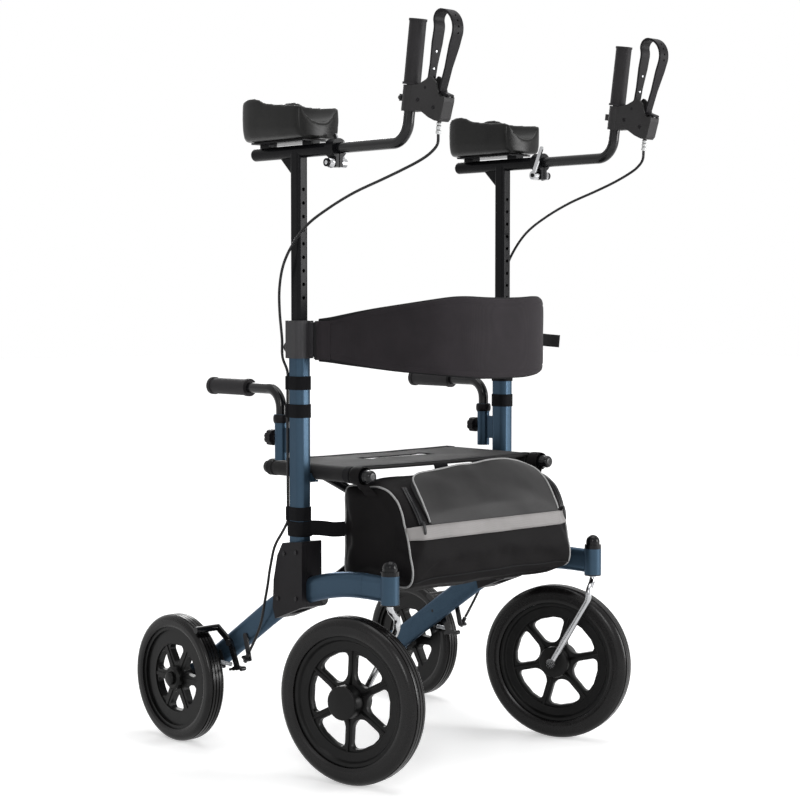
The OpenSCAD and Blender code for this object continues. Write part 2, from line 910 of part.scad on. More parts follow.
module brake_cable() {
    adjuster_end = [lane_x, stop_y - adjuster_up * sin(stop_turn), stop_z + adjuster_up * cos(stop_turn)];
    route = concat(cable_route, [adjuster_end]);
    color(cloth_black) {
        tube_along([for (i = [0:cable_rings]) along(route, i / cable_rings)], cable_d, cable_sides,
            [1, 0, 0]);
        on_stop()
            translate([0, 0, -adjuster_down - wire_long()])
                cylinder(d = wire_d, h = wire_long());
    }
}

function wire_long() = norm([stop_y - lug_y, stop_z - lug_z]) - adjuster_down - lug_w / 2 - seat_fit;

module frame_hardware() {
    outer = rear_wheel_out + rear_tyre_w / 2 + hub_over;
    color(bright_steel) {
        across(-arch_wide / 2, axle_behind, rear_r, axle_d, arch_wide / 2 + outer + axle_head_h);
        across(-arch_wide / 2 - axle_head_h, axle_behind, rear_r, axle_head_d, axle_head_h);
        across(outer + seat_fit, axle_behind, rear_r, axle_head_d, axle_head_h);
        across(arch_wide / 2, axle_behind, rear_r, axle_head_d, rear_wheel_out - rear_tyre_w / 2 - hub_over
            - seat_fit - arch_wide / 2);
        across(-arch_wide / 2, brake_y, brake_z, brake_bolt_d,
            arch_wide / 2 + arm_x + brake_thick + seat_fit);
        across(arm_x + brake_thick + seat_fit, brake_y, brake_z, brake_head_d, brake_head_h);
        brace_pin();
        cable_stop();
        spring_anchor();
        for (s = cover_screw_shares)
            across(cover_wide / 2, s[0] * cover_deep - cover_front, cover_top - s[1] * cover_h, cover_screw_d,
                cover_screw_h);
    }
}

module brace_pin() {
    half = brace_sleeve_len / 2 + seat_fit + ear_thick;
    rearward(-rail_in, -half, brace_z, brace_pin_d, 2 * half);
    for (y = [-half - cover_screw_h, half])
        rearward(-rail_in, y, brace_z, brace_pin_d + 2 * cover_screw_h, cover_screw_h);
}

module cable_stop() {
    edge_y = stop_y + arch_tall / 4;
    side_plate(arch_wide / 2, soft_fit + brake_thick / 2)
        bar([edge_y, stop_z + arch_tall * 0.9], [stop_y, stop_z], stop_tab);
    on_stop() {
        difference() {
            translate([arch_wide / 2 - lane_x, -stop_wide / 2, -stop_thick / 2])
                cube([lane_x - arch_wide / 2 + stop_wide / 2, stop_wide, stop_thick]);
            translate([0, 0, -stop_thick])
                cylinder(d = wire_d + 2 * soft_fit, h = 2 * stop_thick);
        }
        difference() {
            translate([0, 0, -adjuster_down])
                cylinder(d = adjuster_d, h = adjuster_down + adjuster_up);
            translate([0, 0, -adjuster_down - over])
                cylinder(d = wire_d + 2 * soft_fit, h = adjuster_down + over);
        }
    }
}

// Spring run: it starts on the brake arm's foot pin and ends on the leg's pin
spring_y = foot_y + spring_start;
spring_z = foot_z;
anchor_y = spring_y + spring_len;
anchor_drop = spring_d / 2 - spring_wire / 2;

module spring_anchor() {
    across(arch_wide / 2, anchor_y, spring_z - spring_wire - spring_pin_d / 2 - seat_fit, spring_pin_d,
        spring_x - arch_wide / 2 + spring_d / 2);
    side_plate(arch_wide / 2, soft_fit + brake_thick / 2)
        bar([anchor_y, spring_z - spring_wire - spring_pin_d / 2 - seat_fit],
            [anchor_y + arch_tall / 4, spring_z + arch_tall / 2], spring_pin_d + 2 * spring_wire);
}

module height_knob() {
    color(plastic_black)
        translate([0, 0, collar_top - knob_drop])
            rotate([-90, 0, 0])
                rotate_extrude()
                    intersection() {
                        union() {
                            translate([0, mast_deep / 2 + soft_fit])
                                square([knob_stem_d / 2,
                                    collar_deep / 2 - mast_deep / 2 + height_knob_h / 4]);
                            translate([0, collar_deep / 2 + knob_gap])
                                square([height_knob_d / 2, height_knob_h / 3]);
                            translate([0, collar_deep / 2 + knob_gap + height_knob_h / 3])
                                scale_circle(height_knob_d / 2);
                        }
                        square([height_knob_d, collar_deep / 2 + knob_gap + height_knob_h]);
                    }
}

module scale_circle(r) {
    intersection() {
        circle(r);
        square([r, r]);
    }
}

// Mast with its arm tube
module mast() {
    color(tube_black)
        difference() {
            union() {
                difference() {
                    union() {
                        translate([0, 0, mast_foot])
                            linear_extrude(arm_z - mast_foot)
                                soft_rect(mast_wide, mast_deep, mast_round);
                        translate([0, 0, mast_foot])
                            linear_extrude(glide_h)
                                soft_rect(post_wide - 2 * post_wall - 2 * soft_fit,
                                    post_deep - 2 * post_wall - 2 * soft_fit, post_round - post_wall);
                    }
                    translate([0, 0, mast_foot - over])
                        linear_extrude(arm_z - mast_foot)
                            soft_rect(mast_wide - 2 * mast_wall, mast_deep - 2 * mast_wall,
                                mast_round - mast_wall);
                }
                rearward(0, -arm_front, arm_z, arm_d, arm_front + arm_back);
                arm_cap();
                side_plate(-gusset_thick / 2, gusset_thick)
                    polygon([[mast_deep / 2 - mast_wall, arm_z], [mast_deep / 2 + gusset_long, arm_z],
                        [mast_deep / 2 + gusset_long, arm_z - arm_d / 2],
                        [mast_deep / 2 - mast_wall, arm_z - arm_d / 2 - gusset_long]]);
                handle_clamp();
                pad_plate();
            }
            rearward(0, -arm_front - over, arm_z, handle_d + 2 * slide_fit, arm_front + arm_back + over);
            translate([-clamp_slit / 2, -arm_front - over, arm_z - clamp_d])
                cube([clamp_slit, clamp_long + over, clamp_d - handle_d / 4]);
            for (i = [0:holes - 1])
                translate([0, -mast_deep, arm_z - hole_top - i * mast_pitch])
                    rotate([-90, 0, 0])
                        cylinder(d = hole_d, h = mast_deep);
        }
}

module arm_cap() {
    translate([0, arm_back, arm_z])
        rotate([-90, 0, 0])
            rotate_extrude()
                intersection() {
                    union() {
                        square([arm_d / 2 - cap_round, cap_round]);
                        translate([arm_d / 2 - cap_round, 0])
                            circle(cap_round);
                    }
                    square([arm_d, cap_round]);
                }
}

module handle_clamp() {
    rearward(0, -arm_front, arm_z, clamp_d, clamp_long);
    translate([-clamp_ear_wide / 2, -arm_front, arm_z - clamp_d / 2 - clamp_ear_h])
        cube([clamp_ear_wide, clamp_long, clamp_ear_h + clamp_d / 4]);
    y = -arm_front + clamp_long / 2;
    inner = clamp_ear_wide / 2 + soft_fit + lever_disc_h + clamp_bolt_out;
    across(-inner, y, clamp_bolt_z, clamp_bolt_d, inner + clamp_bolt_long / 2);
    across(clamp_bolt_long / 2 - clamp_nut_long, y, clamp_bolt_z, clamp_nut_d, clamp_nut_long);
}

module pad_plate() {
    top = arm_z + arm_d / 2 + pad_rise;
    translate([-pad_plate_wide / 2, pad_middle - pad_plate_len / 2, top])
        cube([pad_plate_wide, pad_plate_len, pad_plate_thick]);
    for (y = [pad_middle - pad_plate_len / 2, pad_middle + pad_plate_len / 2 - pad_block_len])
        translate([-pad_block_wide / 2, y, arm_z + handle_d / 2])
            cube([pad_block_wide, pad_block_len, top - arm_z - handle_d / 2 + pad_plate_thick / 2]);
}

// One half of the pad's section: outer skin, lip and trough of a wing of height h
function pad_half(hw, h) = concat(
    [for (i = [len(pad_skin_shares) - 1:-1:0]) [pad_skin_shares[i][0] * hw, pad_skin_shares[i][1] * h]],
    [[(pad_skin_shares[0][0] + pad_trough_shares[0][0]) / 2 * hw, h + pad_lip]],
    [for (s = pad_trough_shares) [s[0] * hw, pad_floor + (h - pad_floor) * s[1]]]
);
function pad_section(k) =
    let (
        hw = pad_wide / 2 * pad_taper_shares[k],
        y = pad_middle + pad_len / 2 - pad_len * pad_run_shares[k],
        half = pad_half(hw, pad_tall * wing_shares[k]),
        n = len(half)
    )
    concat(
        [for (p = half) [p[0], y, pad_z + p[1]]],
        [for (i = [n - 1:-1:0]) [-half[i][0], y, pad_z + half[i][1]]]
    );

module arm_pad() {
    color(cloth_black)
        loft([for (k = [0:len(pad_run_shares) - 1]) pad_section(k)]);
}

module clamp_lever(turn) {
    x = -clamp_ear_wide / 2 - soft_fit - lever_disc_h;
    y = -arm_front + clamp_long / 2;
    color(bright_steel)
        difference() {
            translate([x, y, clamp_bolt_z])
                rotate([turn, 0, 0])
                    union() {
                        rotate([0, 90, 0])
                            cylinder(d = lever_disc_d, h = lever_disc_h);
                        side_plate(0, lever_arm_thick)
                            bar([0, 0], [0, lever_arm_len], lever_arm_w);
                    }
            across(x - over, y, clamp_bolt_z, clamp_bolt_d + 2 * run_fit, lever_disc_h + 2 * over);
        }
}

// Hand grip, brake housing and lever
module handle_tube() {
    color(tube_black)
        translate([0, -handle_inside, arm_z])
            forwards(0)
                difference() {
                    swept(handle_steps)
                        circle(d = handle_d);
                    swept(handle_steps)
                        circle(d = handle_d - 2 * handle_wall);
                }
}

module hand_grip() {
    color(cloth_black)
        on_grip()
            translate([0, 0, grip_foot])
                difference() {
                    union() {
                        cylinder(d = grip_d, h = grip_len);
                        cylinder(d = grip_flange_d, h = grip_flange_h);
                        translate([0, 0, grip_len - grip_flange_h])
                            cylinder(d = grip_d + grip_flange_h / 2, h = grip_flange_h);
                    }
                    translate([0, 0, -over])
                        cylinder(d = handle_d + 2 * run_fit, h = grip_len - grip_end + seat_fit + over);
                }
}

module housing_outline() {
    polygon([for (s = housing_shares) [-s[0] * housing_reach, housing_low + s[1] * housing_tall]]);
}

module brake_housing() {
    color(plastic_black)
        on_grip()
            difference() {
                union() {
                    translate([0, 0, housing_foot])
                        cylinder(d = housing_ring_d, h = housing_h);
                    side_plate(-housing_wide / 2, housing_wide)
                        housing_outline();
                    translate([0, -barrel_ahead, housing_low - barrel_h])
                        cylinder(d = barrel_d, h = barrel_h + housing_tall / 4);
                    translate([-lug_block / 2, housing_ring_d / 2 - lug_block / 3,
                            housing_foot + housing_h / 2 - lug_block / 2])
                        cube([lug_block, lug_block, lug_block]);
                    across(0, housing_ring_d / 2 + lug_block / 3, housing_foot + housing_h / 2, lug_bolt_d,
                        lug_block / 2 + lug_bolt_d / 2);
                }
                translate([0, 0, housing_low - over])
                    cylinder(d = handle_d + 2 * run_fit, h = housing_tall + 2 * over);
                translate([0, 0, housing_foot + housing_h])
                    cylinder(d = grip_flange_d + 2 * soft_fit, h = housing_tall);
                lever_pocket();
                across(-housing_wide, -lever_pivot_ahead, lever_pivot_up, lever_pivot_d, 2 * housing_wide);
            }
}

// Room for the lever between the housing's cheeks
module lever_pocket() {
    room = lever_hub_d / 2 + 2 * soft_fit;
    translate([-lever_slot / 2, -housing_reach - over, lever_pivot_up - room])
        cube([lever_slot, housing_reach + over - lever_pivot_ahead + room, housing_tall]);
    lever_place()
        translate([soft_fit - lever_slot / 2, lever_end[0] - housing_reach,
                lever_end[1] - lever_toe_drop - lever_thick])
            cube([lever_slot - 2 * soft_fit, housing_reach + lever_thick, housing_tall]);
}

module lever_place() {
    translate([0, -lever_pivot_ahead, lever_pivot_up])
        rotate([lever_lean, 0, 0])
            children();
}

// Front view of the lever's strap, which widens towards its top
module lever_face() {
    foot = lever_wide / 2;
    crown = lever_top_wide / 2 + over;
    translate([0, lever_hub_d, 0])
        rotate([90, 0, 0])
            linear_extrude(housing_reach)
                polygon([[-foot, -lever_run], [foot, -lever_run], [foot, lever_flare_low],
                    [crown, lever_flare_high], [crown, 2 * lever_run], [-crown, 2 * lever_run],
                    [-crown, lever_flare_high], [-foot, lever_flare_low]]);
}

module brake_lever() {
    color(plastic_black)
        on_grip()
            lever_place()
                difference() {
                    union() {
                        across(-lever_wide / 2, 0, 0, lever_hub_d, lever_wide);
                        across(-housing_wide / 2, 0, 0, lever_pivot_d - 2 * run_fit, housing_wide);
                        intersection() {
                            forwards(90)
                                swept(lever_steps)
                                    square([lever_thick, lever_top_wide], center = true);
                            lever_face();
                        }
                        side_plate(-lever_wide / 2 + lever_thick / 4, lever_wide - lever_thick / 2)
                            bar(lever_end, lever_end - [lever_toe_len, lever_toe_drop], lever_thick);
                    }
                    for (a = lever_hole_turns)
                        translate([0, lever_crown[0], lever_crown[1]])
                            rotate([a, 0, 0])
                                translate([0, 0, lever_front_bend - lever_thick])
                                    cylinder(d = lever_hole_d, h = 2 * lever_thick);
                }
}

// Centre of the front bend and place where the front strand ends, in the lever's own side view
lever_peak = 90 + lever_back_turn;
lever_crown = [
    lever_back_bend * (1 - cos(lever_back_turn)) - joint_run * cos(lever_peak)
        - lever_top_bend * sin(lever_peak) - joint_run,
    lever_run + lever_back_bend * sin(lever_back_turn) + joint_run * sin(lever_peak)
        + lever_top_bend * (1 - cos(lever_peak)) - lever_front_bend
];
lever_end = lever_crown + [
    -lever_front_bend * sin(lever_front_turn) - lever_front_run * cos(lever_front_turn),
    lever_front_bend * cos(lever_front_turn) - lever_front_run * sin(lever_front_turn)
];

// Push handle
module push_tube() {
    steps = [
        [push_z - push_bend - push_foot, push_bend, 90, 90],
        [push_reach - push_behind - push_bend - grip_end, 0, 0, 0]
    ];
    color(tube_black)
        translate([0, push_behind, push_foot])
            swept(steps)
                ring_section(push_d, push_wall);
}

module push_grip() {
    start = push_reach - push_grip_len;
    color(cloth_black)
        difference() {
            union() {
                rearward(0, start, push_z, push_grip_d, push_grip_len);
                for (y = [start, push_reach - push_flare_h])
                    rearward(0, y, push_z, push_grip_d + push_flare, push_flare_h);
            }
            rearward(0, start - over, push_z, push_d + 2 * run_fit,
                push_grip_len - grip_end + seat_fit + over);
        }
}

module handle_knob() {
    color(plastic_black)
        translate([0, push_behind, push_knob_z])
            rotate([-90, 0, 0]) {
                translate([0, 0, push_d / 2 + soft_fit])
                    cylinder(d = knob_stem_d, h = bracket_d / 2 - push_d / 2 + push_knob_neck);
                translate([0, 0, bracket_d / 2 + knob_gap])
                    cylinder(d = push_knob_d / 2, h = push_knob_neck);
                translate([0, 0, bracket_d / 2 + knob_gap + push_knob_neck])
                    linear_extrude(push_knob_h)
                        difference() {
                            circle(d = push_knob_d);
                            for (i = [0:push_knob_lobes - 1])
                                rotate(i * 360 / push_knob_lobes)
                                    translate([push_knob_d / 2 + push_knob_neck / 4, 0])
                                        circle(d = push_knob_neck);
                        }
            }
}

// Wheels
module fork(angle) {
    inner = -rod_in - fork_d / 2;
    color(bright_steel)
        steered(angle) {
            translate([0, 0, stem_top])
                rotate([180, 0, 0])
                    swept(fork_steps)
                        circle(d = fork_d);
            translate([0, 0, stem_top - stem_nut_h])
                cylinder(d = stem_nut_d, h = stem_nut_h);
            across(inner, caster_trail, front_r, fork_eye_d,
                caster_out - hub_half(front_tyre_w) - seat_fit - inner);
            across(inner, caster_trail, front_r, front_axle_d,
                caster_out + hub_half(front_tyre_w) + seat_fit + front_nut_h - inner);
            across(caster_out + hub_half(front_tyre_w) + seat_fit, caster_trail, front_r, front_nut_d,
                front_nut_h);
        }
}

function hub_half(tyre_w) = tyre_w / 2 + hub_over;

module tyre(r, w, deep) {
    color(plastic_black)
        rotate_extrude($fn = 96)
            difference() {
                translate([r - deep / 2, 0])
                    soft_rect(deep, w, deep * tyre_round_share);
                for (s = tread_groove_shares)
                    translate([r - tread_groove_deep, s * w - tread_groove_w / 2])
                        square([tread_groove_deep + over, tread_groove_w]);
                translate([r - deep - over, -w])
                    square([over + deep / 6, 2 * w]);
            }
}

// Barrel, dished ring, spoked web and hub; a hub with a cup hides the axle nut
module rim(r, w, deep, ring_r, hub_d, bore_d, cup) {
    outer = r - deep + deep / 6 - rim_gap;
    color(plastic_black)
        difference() {
            union() {
                rotate_extrude($fn = 96) {
                    translate([outer - rim_lip, -w * rim_share])
                        square([rim_lip, 2 * w * rim_share]);
                    translate([ring_r, -ring_thick / 2])
                        square([outer - rim_lip / 2 - ring_r, ring_thick]);
                    translate([0, -web_thick / 2])
                        square([ring_r + rim_lip, web_thick]);
                    hub_outline(hub_d / 2, -hub_half(w), hub_half(w) + cup);
                }
                for (i = [0:spokes - 1])
                    rotate((i + 0.5) * 360 / spokes)
                        translate([hub_d / 4, -hub_rib / 2, -rib_thick / 2])
                            cube([ring_r - hub_d / 4 + rim_lip / 2, hub_rib, rib_thick]);
            }
            for (i = [0:spokes - 1])
                rotate(i * 360 / spokes)
                    translate([0, 0, -w])
                        linear_extrude(2 * w)
                            spoke_window(ring_r - rim_lip / 4, hub_d / 2 + window_margin);
            translate([0, 0, -w])
                cylinder(d = bore_d, h = 2 * w);
            if (cup > 0)
                translate([0, 0, hub_half(w)])
                    cylinder(d = front_nut_d + 2 * nut_room, h = cup + over);
        }
}

module hub_outline(hub_r, low, high) {
    polygon([[0, low], [hub_r - hub_chamfer, low], [hub_r, low + hub_chamfer], [hub_r, high - hub_chamfer],
        [hub_r - hub_chamfer, high], [0, high]]);
}

module spoke_window(reach, start) {
    r = (reach - start) * window_share;
    far = reach - r;
    spread = 180 / spokes - asin((r + spoke_w / 2) / far);
    polygon(rounded([[start + r, 0], [far * cos(spread), -far * sin(spread)],
        [far * cos(spread), far * sin(spread)]], r));
}

module front_tyre() {
    on_front_axle()
        tyre(front_r, front_tyre_w, front_tyre_deep);
}

module rear_tyre() {
    on_rear_axle()
        tyre(rear_r, rear_tyre_w, rear_tyre_deep);
}

module front_rim() {
    on_front_axle()
        rim(front_r, front_tyre_w, front_tyre_deep, front_ring_r, front_hub_d,
            front_axle_d + 2 * run_fit, cup_deep);
}

module rear_rim() {
    on_rear_axle()
        rim(rear_r, rear_tyre_w, rear_tyre_deep, rear_ring_r, rear_hub_d, axle_d + 2 * run_fit, 0);
}

// Rear brake
module brake_arm() {
    pin_z = spring_z - spring_wire - spring_pin_d / 2 - seat_fit;
    inside = arm_x + brake_thick / 2;
    color(tube_black)
        difference() {
            union() {
                side_plate(arm_x, brake_thick) {
                    bar([brake_y, brake_z], [shoe_y, shoe_z], brake_bar_w);
                    bar([brake_y, brake_z], [foot_y, foot_z], brake_bar_w);
                    bar([foot_y, foot_z], [lug_y, lug_z], lug_bar_w);
                    bar([foot_y, foot_z], [spring_y, pin_z], lug_bar_w);
                }
                across(inside, shoe_y, shoe_z, shoe_d, rear_wheel_out + rear_tyre_w / 2 + shoe_over - inside);
                across(inside, lug_y, lug_z, lug_w, arm_x + brake_thick + lug_long - inside);
                across(inside, spring_y, pin_z, spring_pin_d, spring_x + spring_d / 2 - inside);
            }
            across(0, brake_y, brake_z, brake_bolt_d + 2 * run_fit, arm_x + 2 * brake_thick);
        }
}

// Spring points: curls about a line along Y, with straight ends that run down to the pins
spring_turns = spring_curls * spring_rings;
spring_points = [
    for (i = [0:spring_turns])
        let (a = 360 * i / spring_rings)
        [
            spring_x + anchor_drop * cos(a),
            spring_y + spring_len * i / spring_turns,
            spring_z + anchor_drop + anchor_drop * sin(a)
        ]
];
spring_gap = min([
    for (i = [0:spring_turns - spring_rings])
        norm(spring_points[i + spring_rings] - spring_points[i]) - spring_wire
]);
echo(spring_least_gap = spring_gap);

module brake_spring() {
    first = spring_points[0];
    last = spring_points[spring_turns];
    tail = [0, 0, -anchor_drop - spring_wire + seat_fit];
    color(bright_steel)
        tube_along(concat([first + tail], spring_points, [last + [0, 0, spring_wire]]), spring_wire,
            spring_sides, [0, 1, 0]);
}

// Seat rails, brace and cloth
module seat_rail() {
    color(tube_black) {
        rearward(-rail_in, -rail_front + rail_knob_long, seat_z, rail_d,
            rail_front - rail_knob_long + rail_back - rail_cap);
        translate([-rail_in, -rail_front, seat_z])
            rotate([-90, 0, 0])
                rail_end(rail_knob_d, rail_knob_long);
        translate([-rail_in, rail_back, seat_z])
            rotate([90, 0, 0])
                rail_end(rail_d, rail_cap);
    }
}

module rail_end(d, long) {
    rotate_extrude()
        intersection() {
            union() {
                translate([0, long / 2])
                    square([d / 2, long / 2]);
                square([d / 2 - long / 2, long]);
                translate([d / 2 - long / 2, long / 2])
                    circle(long / 2);
            }
            square([d, long]);
        }
}

// A bar of the brace from its lower pivot on the side s to the rail across
module cross_bar(s) {
    y = post_y + s * brace_y;
    color(tube_black)
        difference() {
            union() {
                translate([-s * rail_x, y, brace_z])
                    rotate([0, s * (90 - brace_turn), 0])
                        cylinder(d = brace_d, h = brace_len);
                rearward(-s * rail_x, post_y - brace_sleeve_len / 2, brace_z, brace_sleeve_d,
                    brace_sleeve_len);
            }
            rearward(-s * rail_x, post_y - brace_sleeve_len, brace_z, brace_pin_d + 2 * run_fit,
                2 * brace_sleeve_len);
            rearward(s * rail_x, post_y - brace_sleeve_len, seat_z, rail_d + 2 * slide_fit,
                2 * brace_sleeve_len);
            rearward(0, post_y - brace_sleeve_len, brace_mid, pivot_d + 2 * run_fit, 2 * brace_sleeve_len);
        }
}

brace_mid = brace_z + brace_rise / 2;

module cross_bar_a() {
    cross_bar(1);
}

module cross_bar_b() {
    cross_bar(-1);
}

module cross_pivot() {
    half = brace_d + brace_gap / 2 + seat_fit;
    color(bright_steel) {
        rearward(0, post_y - half - pivot_head_h / 2, brace_mid, pivot_d, 2 * half + pivot_head_h);
        for (y = [-half - pivot_head_h, half])
            rearward(0, post_y + y, brace_mid, pivot_head_d, pivot_head_h);
    }
}

function seat_height(x) = seat_z + cloth_grip / 2 - seat_sag * (1 - pow(x / rail_x, 2));

module seat_cloth() {
    xs = [for (i = [0:seat_steps]) rail_x * (2 * i / seat_steps - 1)];
    sheet = concat(
        [for (x = xs) [x, seat_height(x)]],
        [for (i = [seat_steps:-1:0]) [xs[i], seat_height(xs[i]) + cloth_thick]]
    );
    color(cloth_black)
        difference() {
            translate([0, post_y - seat_front + seat_len, 0])
                rotate([90, 0, 0])
                    linear_extrude(seat_len)
                        difference() {
                            union() {
                                polygon(sheet);
                                for (s = [-1, 1])
                                    translate([s * rail_x, seat_z])
                                        circle(d = cloth_d);
                            }
                            for (s = [-1, 1])
                                translate([s * rail_x, seat_z])
                                    circle(d = cloth_grip);
                        }
            for (s = [-1, 1])
                translate([s * rail_x, post_y + s * brace_y, seat_z])
                    rotate([0, s * (90 - brace_turn), 0])
                        translate([0, 0, -brace_len / 2])
                            cylinder(d = brace_d + 2 * soft_fit, h = brace_len / 2);
            translate([0, post_y + slot_y, seat_z - seat_sag])
                linear_extrude(rail_d)
                    soft_rect(slot_long, slot_wide, slot_wide / 2 - soft_fit);
        }
}

// Backrest: a padded band between the collars' sockets
function back_share(i) = sin(180 * i / back_steps - 90);
function back_curve(u) = pow(abs(u), back_curve_share);
function back_y(u) = back_start_y - back_bow * (1 - back_curve(u));
function back_past(u, curve) =
    back_run_share * (u - back_level_share) / (1 - back_level_share) + (1 - back_run_share) * curve;
function back_half(u) =
    let (level = back_curve(back_level_share))
    let (past = back_past(abs(u), (back_curve(u) - level) / (1 - level)))
    (back_tall - (back_tall - back_end_tall) * max(0, past)) / 2;
function back_deep(u) = (back_end_thick + (back_thick - back_end_thick) * (1 - pow(u, 4))) / 2;
function back_section(u) =
    let (slope = back_curve_share * back_bow * pow(abs(u), back_curve_share - 1))
    let (n = unit([sign(u) * slope, back_end_x]))
    [
        for (s = back_round_shares)
            [
                back_end_x * u - n[0] * s[1] * back_deep(u),
                post_y + back_y(u) + n[1] * s[1] * back_deep(u),
                back_z + s[0] * back_half(u)
            ]
    ];

// The tongue's section in the socket, at a place across the walker
function tongue_section(x) = [
    for (s = back_round_shares)
        [x, post_y + back_start_y + s[1] * tongue_thick / 2, back_z + s[0] * (back_end_tall / 2 - soft_fit)]
];
tongue_tip = side_x - collar_wide / 2 + tongue_in;
tongue_root = side_x - collar_wide / 2 - soft_fit;

module backrest() {
    color(cloth_black)
        loft(concat(
            [tongue_section(-tongue_tip), tongue_section(-tongue_root)],
            [for (i = [1:back_steps - 1]) back_section(back_share(i))],
            [tongue_section(tongue_root), tongue_section(tongue_tip)]
        ));
}

// Bag under the front of the seat, with the loops that hang it on the rails
function bag_section(e) = [
    for (s = bag_shares)
        [
            bag_wide / 2 * e[0],
            post_y - bag_front - bag_deep * (0.5 + (s[0] - 0.5) * e[1]),
            bag_foot + bag_tall * (0.5 + (s[1] - 0.5) * e[1])
        ]
];

module bag() {
    color(cloth_black) {
        loft([for (e = bag_end_shares) bag_section(e)]);
        for (s = [-1, 1])
            bag_loop(s);
    }
}

module bag_loop(s) {
    outer = cloth_grip + 2 * loop_thick;
    difference() {
        union() {
            rearward(s * rail_x, post_y - loop_y - loop_wide / 2, seat_z, outer, loop_wide);
            translate([0, post_y - loop_y + loop_wide / 2, 0])
                rotate([90, 0, 0])
                    linear_extrude(loop_wide)
                        bar([s * (rail_x - rail_d / 2), seat_z - loop_thick],
                            [s * (bag_wide / 2 - loop_drop), seat_z - loop_drop], 2 * loop_thick);
        }
        rearward(s * rail_x, post_y - loop_y - loop_wide, seat_z, cloth_grip, 2 * loop_wide);
    }
}

right_side() base_arch();  // right_base_arch
left_side() base_arch();  // left_base_arch
right_side() post();  // right_post
left_side() post();  // left_post
right_side() joint_cover();  // right_joint_cover
left_side() joint_cover();  // left_joint_cover
right_side() collar();  // right_collar
left_side() collar();  // left_collar
right_side() head_set();  // right_head_set
left_side() head_set();  // left_head_set
right_side() cable_bands();  // right_cable_bands
left_side() cable_bands();  // left_cable_bands
right_side() brake_cable();  // right_brake_cable
left_side() brake_cable();  // left_brake_cable
right_side() frame_hardware();  // right_frame_hardware
left_side() frame_hardware();  // left_frame_hardware
right_side() height_knob();  // right_height_knob
left_side() height_knob();  // left_height_knob
right_side() mast();  // right_mast
left_side() mast();  // left_mast
right_side() arm_pad();  // right_arm_pad
left_side() arm_pad();  // left_arm_pad
right_side() clamp_lever(right_arm_turn);  // right_clamp_lever
left_side() clamp_lever(left_arm_turn);  // left_clamp_lever
right_side() handle_tube();  // right_handle_tube
left_side() handle_tube();  // left_handle_tube
right_side() hand_grip();  // right_hand_grip
left_side() hand_grip();  // left_hand_grip
right_side() brake_housing();  // right_brake_housing
left_side() brake_housing();  // left_brake_housing
right_side() brake_lever();  // right_brake_lever
left_side() brake_lever();  // left_brake_lever
right_side() push_tube();  // right_push_tube
left_side() push_tube();  // left_push_tube
right_side() push_grip();  // right_push_grip
left_side() push_grip();  // left_push_grip
right_side() handle_knob();  // right_handle_knob
left_side() handle_knob();  // left_handle_knob
right_side() fork(-right_steer);  // right_fork
left_side() fork(left_steer);  // left_fork
right_side() steered(-right_steer) front_tyre();  // right_front_tyre
left_side() steered(left_steer) front_tyre();  // left_front_tyre
right_side() steered(-right_steer) front_rim();  // right_front_rim
left_side() steered(left_steer) front_rim();  // left_front_rim
right_side() rear_tyre();  // right_rear_tyre
left_side() rear_tyre();  // left_rear_tyre
right_side() rear_rim();  // right_rear_rim
left_side() rear_rim();  // left_rear_rim
right_side() brake_arm();  // right_brake_arm
left_side() brake_arm();  // left_brake_arm
right_side() brake_spring();  // right_brake_spring
left_side() brake_spring();  // left_brake_spring
right_side() seat_rail();  // right_seat_rail
left_side() seat_rail();  // left_seat_rail
cross_bar_a();
cross_bar_b();
cross_pivot();
seat_cloth();
backrest();
bag();
